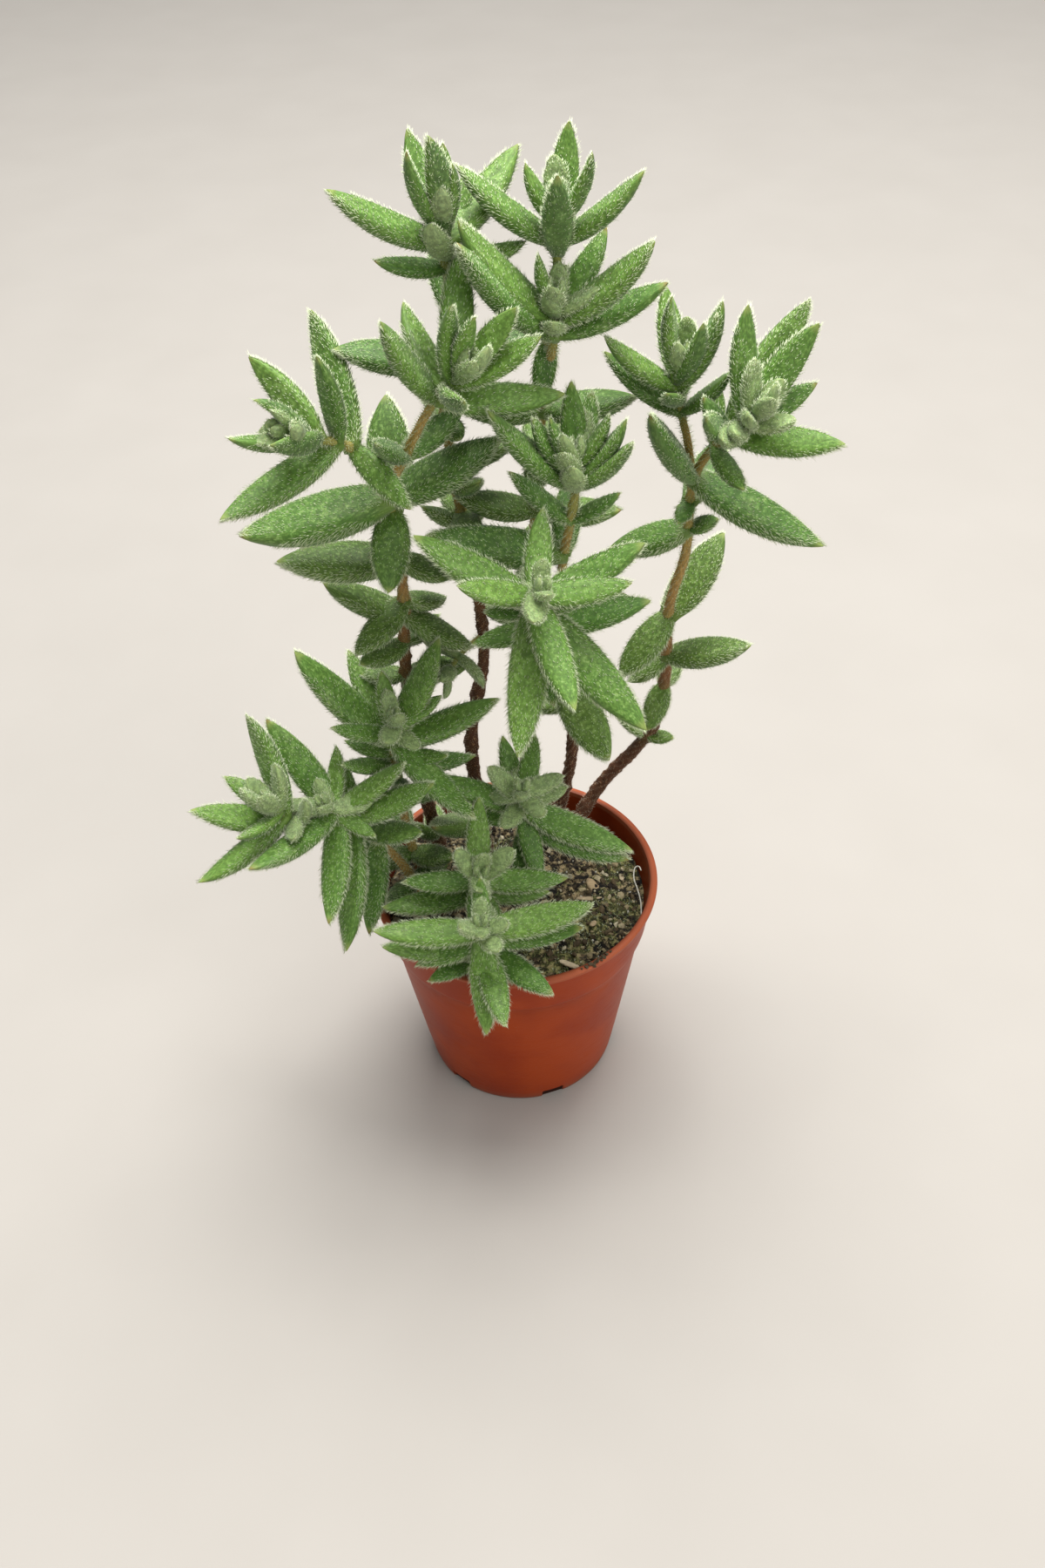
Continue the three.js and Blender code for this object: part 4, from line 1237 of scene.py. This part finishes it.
def makeStrand():
    line = smoothPath(strandLook["path"], strandLook["pathSteps"])
    along = unit(np.gradient(line, axis=0))
    across = unit(np.cross(along, [0, 0, 1]))
    ways = waysRound(across, np.cross(along, across), strandLook["sides"])
    grid = line[:, None] + strandLook["radius"] * ways
    heap = Heap()
    heap.add(*closedGrid(grid, line[0], line[-1]), tone=strandLook["tone"])
    piece = heap.make("pale_strand", gritFinish())
    keep(piece, "soil")
    return heap.triangles()


# Finishes: colours are linear red, green and blue
leafColours = {
    "bud": (0.28, 0.365, 0.165),
    "young": (0.155, 0.29, 0.045),
    "grown": (0.072, 0.168, 0.022),
    "old": (0.1, 0.178, 0.025),
    "under": (0.085, 0.165, 0.038),
    "bloom": (0.26, 0.36, 0.13),
    "tip": (0.33, 0.38, 0.11),
    "brownTip": (0.26, 0.11, 0.045),
    "foot": (0.17, 0.25, 0.05),
}


def leafFinish():
    look = Finish("leaf_skin", **{"IOR": 1.4, "Subsurface Weight": 0.1, "Subsurface Scale": 0.001,
                                  "Sheen Weight": 0.2, "Sheen Roughness": 0.4})
    colours = leafColours
    along, upper, age, tone, bud = (look.value(name) for name in ("along", "upper", "age", "tone", "bud"))
    streak = look.vector("streak")
    fleck = look.grain(streak * (0.85, 2.2, 1), 1.6, 3, 0.75)  # fine mottle in the skin
    broad = look.grain(streak * (0.25, 0.5, 1), 1.0)  # slow change along a leaf
    body = look.blend(colours["young"], colours["grown"], look.rise(age * 0.8 + tone * 0.35, 0.0, 0.55))
    body = look.blend(body, colours["old"], look.rise(age, 0.6, 1.0) * 0.8)
    body = look.blend(colours["under"], body, look.rise(upper, -0.75, 0.1))
    pale = look.rise(broad, 0.5, 0.8) * 0.25 + look.rise(fleck, 0.52, 0.72) * 0.55
    body = look.blend(body, colours["bloom"], pale)
    body = look.blend(body, colours["bud"], bud * 0.75)
    body = body * (0.6 + 0.68 * look.rise(fleck, 0.33, 0.68) + 0.17 * tone)
    body = look.blend(body, colours["foot"], look.rise(along, 0.14, 0.0) * 0.55)
    body = look.blend(body, colours["tip"], look.rise(along + 0.03 * tone, 0.93, 1.0) * (0.55 - 0.4 * bud))
    brown = look.rise(along, 0.955, 0.99) * look.rise(tone, 0.8, 0.88) * (1 - bud)
    body = look.blend(body, colours["brownTip"], brown * 0.5)
    pits = look.grain(streak * (1, 2, 1), 2.6)
    return look.feed(Base_Color=body, Roughness=0.62 - 0.14 * broad, Normal=look.bump(pits, 0.35, 0.00012))


bristleColours = {
    "leafRoot": (0.38, 0.52, 0.2),
    "leafTip": (0.8, 0.88, 0.6),
    "woodRoot": (0.32, 0.19, 0.1),
    "woodTip": (0.74, 0.66, 0.5),
}


def bristleFinish():
    look = Finish("bristles", **{"IOR": 1.4, "Roughness": 0.5})
    colours = bristleColours
    root, tone, wood = look.value("root"), look.value("tone"), look.value("wood")
    green = look.blend(colours["leafRoot"], colours["leafTip"], look.rise(root, 0.0, 0.45))
    brown = look.blend(colours["woodRoot"], colours["woodTip"], look.rise(root, 0.0, 0.8))
    body = look.blend(green, brown, wood) * (0.75 + 0.4 * tone)
    return look.feed(Base_Color=body)


barkColours = {
    "shootTip": (0.26, 0.3, 0.08),
    "youngBark": (0.44, 0.29, 0.085),
    "woodyBark": (0.26, 0.115, 0.042),
    "oldBark": (0.1, 0.039, 0.017),
    "flake": (0.38, 0.23, 0.12),
    "knot": (0.3, 0.32, 0.08),  # green that stays at each leaf pair
}


def barkFinish():
    look = Finish("bark", **{"IOR": 1.45})
    colours = barkColours
    below, woody, knot = look.value("below"), look.value("woody"), look.value("knot")
    place = look.place()
    fibre = look.grain(place * (1, 1, 0.45), 1900, 3, 0.7)
    patch = look.grain(place, 420)
    body = look.blend(colours["shootTip"], colours["youngBark"], look.rise(below, 3, 14))
    body = look.blend(body, colours["woodyBark"], look.rise(woody + 0.3 * patch, 0.25, 0.95))
    body = look.blend(body, colours["oldBark"], look.rise(woody + 0.25 * fibre, 0.75, 1.15))
    body = look.blend(body, colours["flake"], look.rise(fibre, 0.57, 0.7) * (0.25 + 0.4 * woody))
    body = look.blend(body, colours["knot"], knot * (0.75 - 0.65 * woody))
    body = body * (0.15 + 1.6 * fibre)
    return look.feed(Base_Color=body, Roughness=0.75 + 0.15 * fibre, Normal=look.bump(fibre, 0.8, 0.0003))


potColours = {
    "plastic": (0.27, 0.029, 0.003),
    "paler": (0.34, 0.045, 0.005),
    "scuff": (0.36, 0.09, 0.03),
    "lipEdge": (0.42, 0.14, 0.07),
    "dust": (0.3, 0.2, 0.13),
    "dirtyFoot": (0.2, 0.11, 0.065),
}
# in metres, as the nodes read places
potZones = {
    "innerFoot": 0.019,  # radius inside the wall at the height of the foot, and how it widens with height; within it the inner wall takes a painted shade
    "innerFlare": 0.178,
    "innerShadeFade": (0.0005, 0.0012),
    "lipEdge": (0.0459, 0.0463),
    "dirt": (0.0055, 0.002),
    "drainRadius": 0.01875,  # what lies nearer the middle and lower than this is in a drain notch, and is given a painted shade
    "drainHeight": 0.0027,
    "notchShadeFade": 0.0002,
}


def potFinish():
    look = Finish("pot_plastic", **{"IOR": 1.5, "Specular IOR Level": 0.14})
    colours, zones = potColours, potZones
    place = look.place()
    height = look.node("SeparateXYZ", None, {0: place}, output="Z")
    away = look.node("VectorMath", {"operation": "LENGTH"}, {0: place * (1, 1, 0)}, output="Value")
    # painted shade: the inner wall of the pot is darkened, as if in shadow
    inside = look.rise(zones["innerFoot"] + zones["innerFlare"] * height - away, *zones["innerShadeFade"])
    cloudy = look.grain(place, 60, 3, 0.6)
    speck = look.grain(place, 1500, 2, 0.6)
    scuff = look.grain(place * (1, 1, 6), 210, 4, 0.7)
    body = look.blend(colours["plastic"], colours["paler"], look.rise(cloudy, 0.35, 0.65))
    body = look.blend(body, colours["scuff"], look.rise(scuff, 0.6, 0.78) * 0.3)
    body = look.blend(body, colours["lipEdge"], look.rise(height, *zones["lipEdge"]) * 0.5)
    dusty = look.rise(speck, 0.68, 0.8) * look.rise(cloudy, 0.5, 0.7)
    body = look.blend(body, colours["dust"], dusty * 0.5)
    body = look.blend(body, colours["dirtyFoot"], look.rise(height + 0.004 * scuff, *zones["dirt"]) * 0.35)
    # painted shade: the drain notches and the underside are darkened almost to black, as if in shadow
    drain = (look.rise(zones["drainRadius"] - away, 0.0, zones["notchShadeFade"])
             * look.rise(zones["drainHeight"] - height, 0.0, zones["notchShadeFade"]))
    body = body * (1 - 0.45 * inside) * (1 - 0.9 * drain)
    rough = 0.34 + 0.16 * cloudy + 0.12 * look.rise(scuff, 0.5, 0.75)
    return look.feed(Base_Color=body, Roughness=rough, Normal=look.bump(speck + 0.6 * cloudy, 0.12, 0.0002))


soilColours = {
    "peat": (0.012, 0.009, 0.006),
    "dryCrumb": (0.4, 0.31, 0.17),
    "dryClod": (0.34, 0.26, 0.14),
    "damp": (0.045, 0.05, 0.015),  # the green growth, in its gaps and on top
    "green": (0.26, 0.26, 0.09),
}


def soilFinish():
    look = Finish("peat", **{"IOR": 1.4})
    colours = soilColours
    place = look.place()
    green = look.value("green")
    crumb = look.grain(place, 950, 3, 0.75)
    clod = look.grain(place, 320)
    body = look.blend(colours["peat"], colours["dryCrumb"], look.rise(crumb, 0.46, 0.66))
    body = look.blend(body, colours["dryClod"], look.rise(clod, 0.58, 0.75) * 0.45)
    mossy = look.blend(colours["damp"], colours["green"], look.rise(crumb, 0.42, 0.62))
    body = look.blend(body, mossy, green * look.rise(clod, 0.3, 0.55) * 0.75)
    body = body * (1 - 0.75 * look.rise(clod, 0.48, 0.38))
    return look.feed(Base_Color=body, Roughness=0.82 + 0.15 * crumb, Normal=look.bump(crumb, 0.8, 0.0004))


# colour of a crumb by its tone, from damp to dry
crumbStops = [(0, (0.015, 0.011, 0.008)), (0.5, (0.11, 0.08, 0.042)), (0.8, (0.34, 0.28, 0.16)),
              (1, (0.5, 0.45, 0.32))]


def crumbFinish():
    look = Finish("peat_crumb", **{"IOR": 1.4})
    grain = look.grain(look.place(), 2200)
    body = look.node("ValToRGB", {"stops": crumbStops}, {0: look.value("tone")}) * (0.5 + grain)
    return look.feed(Base_Color=body, Roughness=0.8 + 0.2 * grain, Normal=look.bump(grain, 0.6, 0.0002))


gritColours = {"dark": (0.36, 0.34, 0.27), "pale": (0.7, 0.68, 0.6)}


def gritFinish():
    look = Finish("grit", **{"IOR": 1.5})
    grain = look.grain(look.place(), 2600)
    body = look.blend(gritColours["dark"], gritColours["pale"], look.value("tone")) * (0.6 + 0.7 * grain)
    return look.feed(Base_Color=body, Roughness=0.6 + 0.3 * grain, Normal=look.bump(grain, 0.5, 0.0002))


chipColours = {"dark": (0.42, 0.31, 0.18), "pale": (0.58, 0.49, 0.34)}


def chipFinish():
    look = Finish("bark_chip", **{"IOR": 1.45})
    fibre = look.grain(look.place() * (1, 3, 1), 900, 3, 0.6)
    body = look.blend(chipColours["dark"], chipColours["pale"], look.value("tone")) * (0.45 + fibre)
    return look.feed(Base_Color=body, Roughness=0.7 + 0.2 * fibre, Normal=look.bump(fibre, 0.7, 0.0003))


mossColours = {"root": (0.025, 0.03, 0.01), "blade": (0.24, 0.28, 0.09), "pale": (0.52, 0.57, 0.42)}


def mossFinish():
    look = Finish("moss", **{"IOR": 1.4})
    tone, root = look.value("tone"), look.value("root")
    body = look.blend(mossColours["root"], mossColours["blade"], look.rise(root, 0.1, 0.95))
    body = look.blend(body, mossColours["pale"], look.rise(tone, 0.68, 0.8) * look.rise(root, 0.2, 0.8))
    return look.feed(Base_Color=body, Roughness=0.75 + 0.1 * tone)


floorColours = {"darker": (0.41, 0.385, 0.355), "paler": (0.44, 0.415, 0.385)}


def floorFinish():
    look = Finish("pale_floor", **{"Roughness": 0.85})
    grain = look.grain(look.place(), 30)
    return look.feed(Base_Color=look.blend(floorColours["darker"], floorColours["paler"], grain))


# Leafy stems of the frame, each with its leaves, stems and bristles
def makeSprays():
    leaves = growLeaves()
    finishes = {"leaves": leafFinish(), "stems": barkFinish(), "bristles": bristleFinish()}
    total = 0
    for spray in dict.fromkeys(shoot["spray"] for shoot in shoots):
        heaps = {kind: Heap() for kind in finishes}
        for number, shoot in enumerate(shoots):
            if shoot["spray"] == spray:
                grid, below, woody, knot = stemGrid(shoot, number)
                addStem(heaps["stems"], shoot, grid, below, woody, knot)
                bristleStem(heaps["bristles"], grid, below, woody, number, soilLook["top"])
        for number, leaf in enumerate(leaves):
            if leaf["spray"] == spray:
                grid, t, y = leafGrid(leaf, number)
                addLeaf(heaps["leaves"], leaf, number, grid, t, y)
                bristleLeaf(heaps["bristles"], leaf, number, grid, t)
        for kind, heap in heaps.items():
            piece = heap.make(f"{kind}_{spray}", finishes[kind])
            keep(piece, "leafy_stems", *([f"spray_{spray}"] if kind == "leaves" else []))
            total += heap.triangles()
        print("spray", spray, {kind: heap.triangles() for kind, heap in heaps.items()})
    print("leaves:", len(leaves), "triangles:", total)


# Camera where the photograph was taken, soft light, and a pale floor
stageLook = {
    "cameraSpot": (2.1, -205.3, 263.7),
    "cameraPitch": 43.14,  # degrees below the horizon
    "cameraRoll": -2.2,
    "focal": 1758,  # in pixels of the photograph's long side
    "longSide": 1800,
    "sensor": 36,
    "clipFrom": 0.01,  # metres, as all lengths from here on
    "sky": (1.0, 1.0, 1.0),
    "skyStrength": 0.4,
    "floorSize": 6,
    "lampAim": (0, 0, 0.08),
    # name, place, size, power, colour
    "lamps": [
        ("overhead", (0.05, 0.2, 1.0), 0.6, 16, (1.0, 0.99, 0.96)),
        ("front", (0.7, -0.8, 0.8), 0.9, 7, (1.0, 0.97, 0.93)),
    ],
}


def makeCamera():
    pitch = math.radians(stageLook["cameraPitch"])
    roll = math.radians(stageLook["cameraRoll"])
    ahead = Vector((0, math.cos(pitch), -math.sin(pitch)))
    flatRight = Vector((1, 0, 0))
    flatUp = flatRight.cross(ahead)
    right = math.cos(roll) * flatRight + math.sin(roll) * flatUp
    up = math.cos(roll) * flatUp - math.sin(roll) * flatRight
    data = bpy.data.cameras.new("camera")
    data.sensor_width = stageLook["sensor"]
    data.lens = stageLook["sensor"] * stageLook["focal"] / stageLook["longSide"]
    data.clip_start = stageLook["clipFrom"]
    camera = bpy.data.objects.new("camera", data)
    bpy.context.scene.collection.objects.link(camera)
    turned = Matrix((right, up, -ahead)).transposed().to_4x4()
    camera.matrix_world = Matrix.Translation(Vector(stageLook["cameraSpot"]) * mm) @ turned
    bpy.context.scene.camera = camera


def makeFloor():
    bpy.ops.mesh.primitive_plane_add(size=stageLook["floorSize"])
    floor = bpy.context.object
    floor.name = "floor"
    floor.data.materials.append(floorFinish())


def makeLight():
    world = bpy.data.worlds.new("sky")
    world.use_nodes = True
    sky = world.node_tree.nodes["Background"]
    sky.inputs["Color"].default_value = (*stageLook["sky"], 1)
    sky.inputs["Strength"].default_value = stageLook["skyStrength"]
    bpy.context.scene.world = world
    for name, place, width, power, colour in stageLook["lamps"]:
        lamp = bpy.data.lights.new(name, "AREA")
        lamp.size, lamp.energy, lamp.color = width, power, colour
        holder = bpy.data.objects.new(name, lamp)
        holder.location = place
        aim = Vector(stageLook["lampAim"]) - Vector(place)
        holder.rotation_euler = aim.to_track_quat("-Z", "Y").to_euler()
        bpy.context.scene.collection.objects.link(holder)
    bpy.context.scene.view_settings.view_transform = "Standard"


makeCamera()
makeFloor()
makeLight()
print("camera, light and floor are set")
makePot()
print("soil:", makeSoil(), "crumbs:", makeCrumbs(), "grit:", makeGrit(), "chips:", makeChips(),
      "moss:", makeMoss(), "strand:", makeStrand())
makeSprays()

bpy.context.view_layer.update()
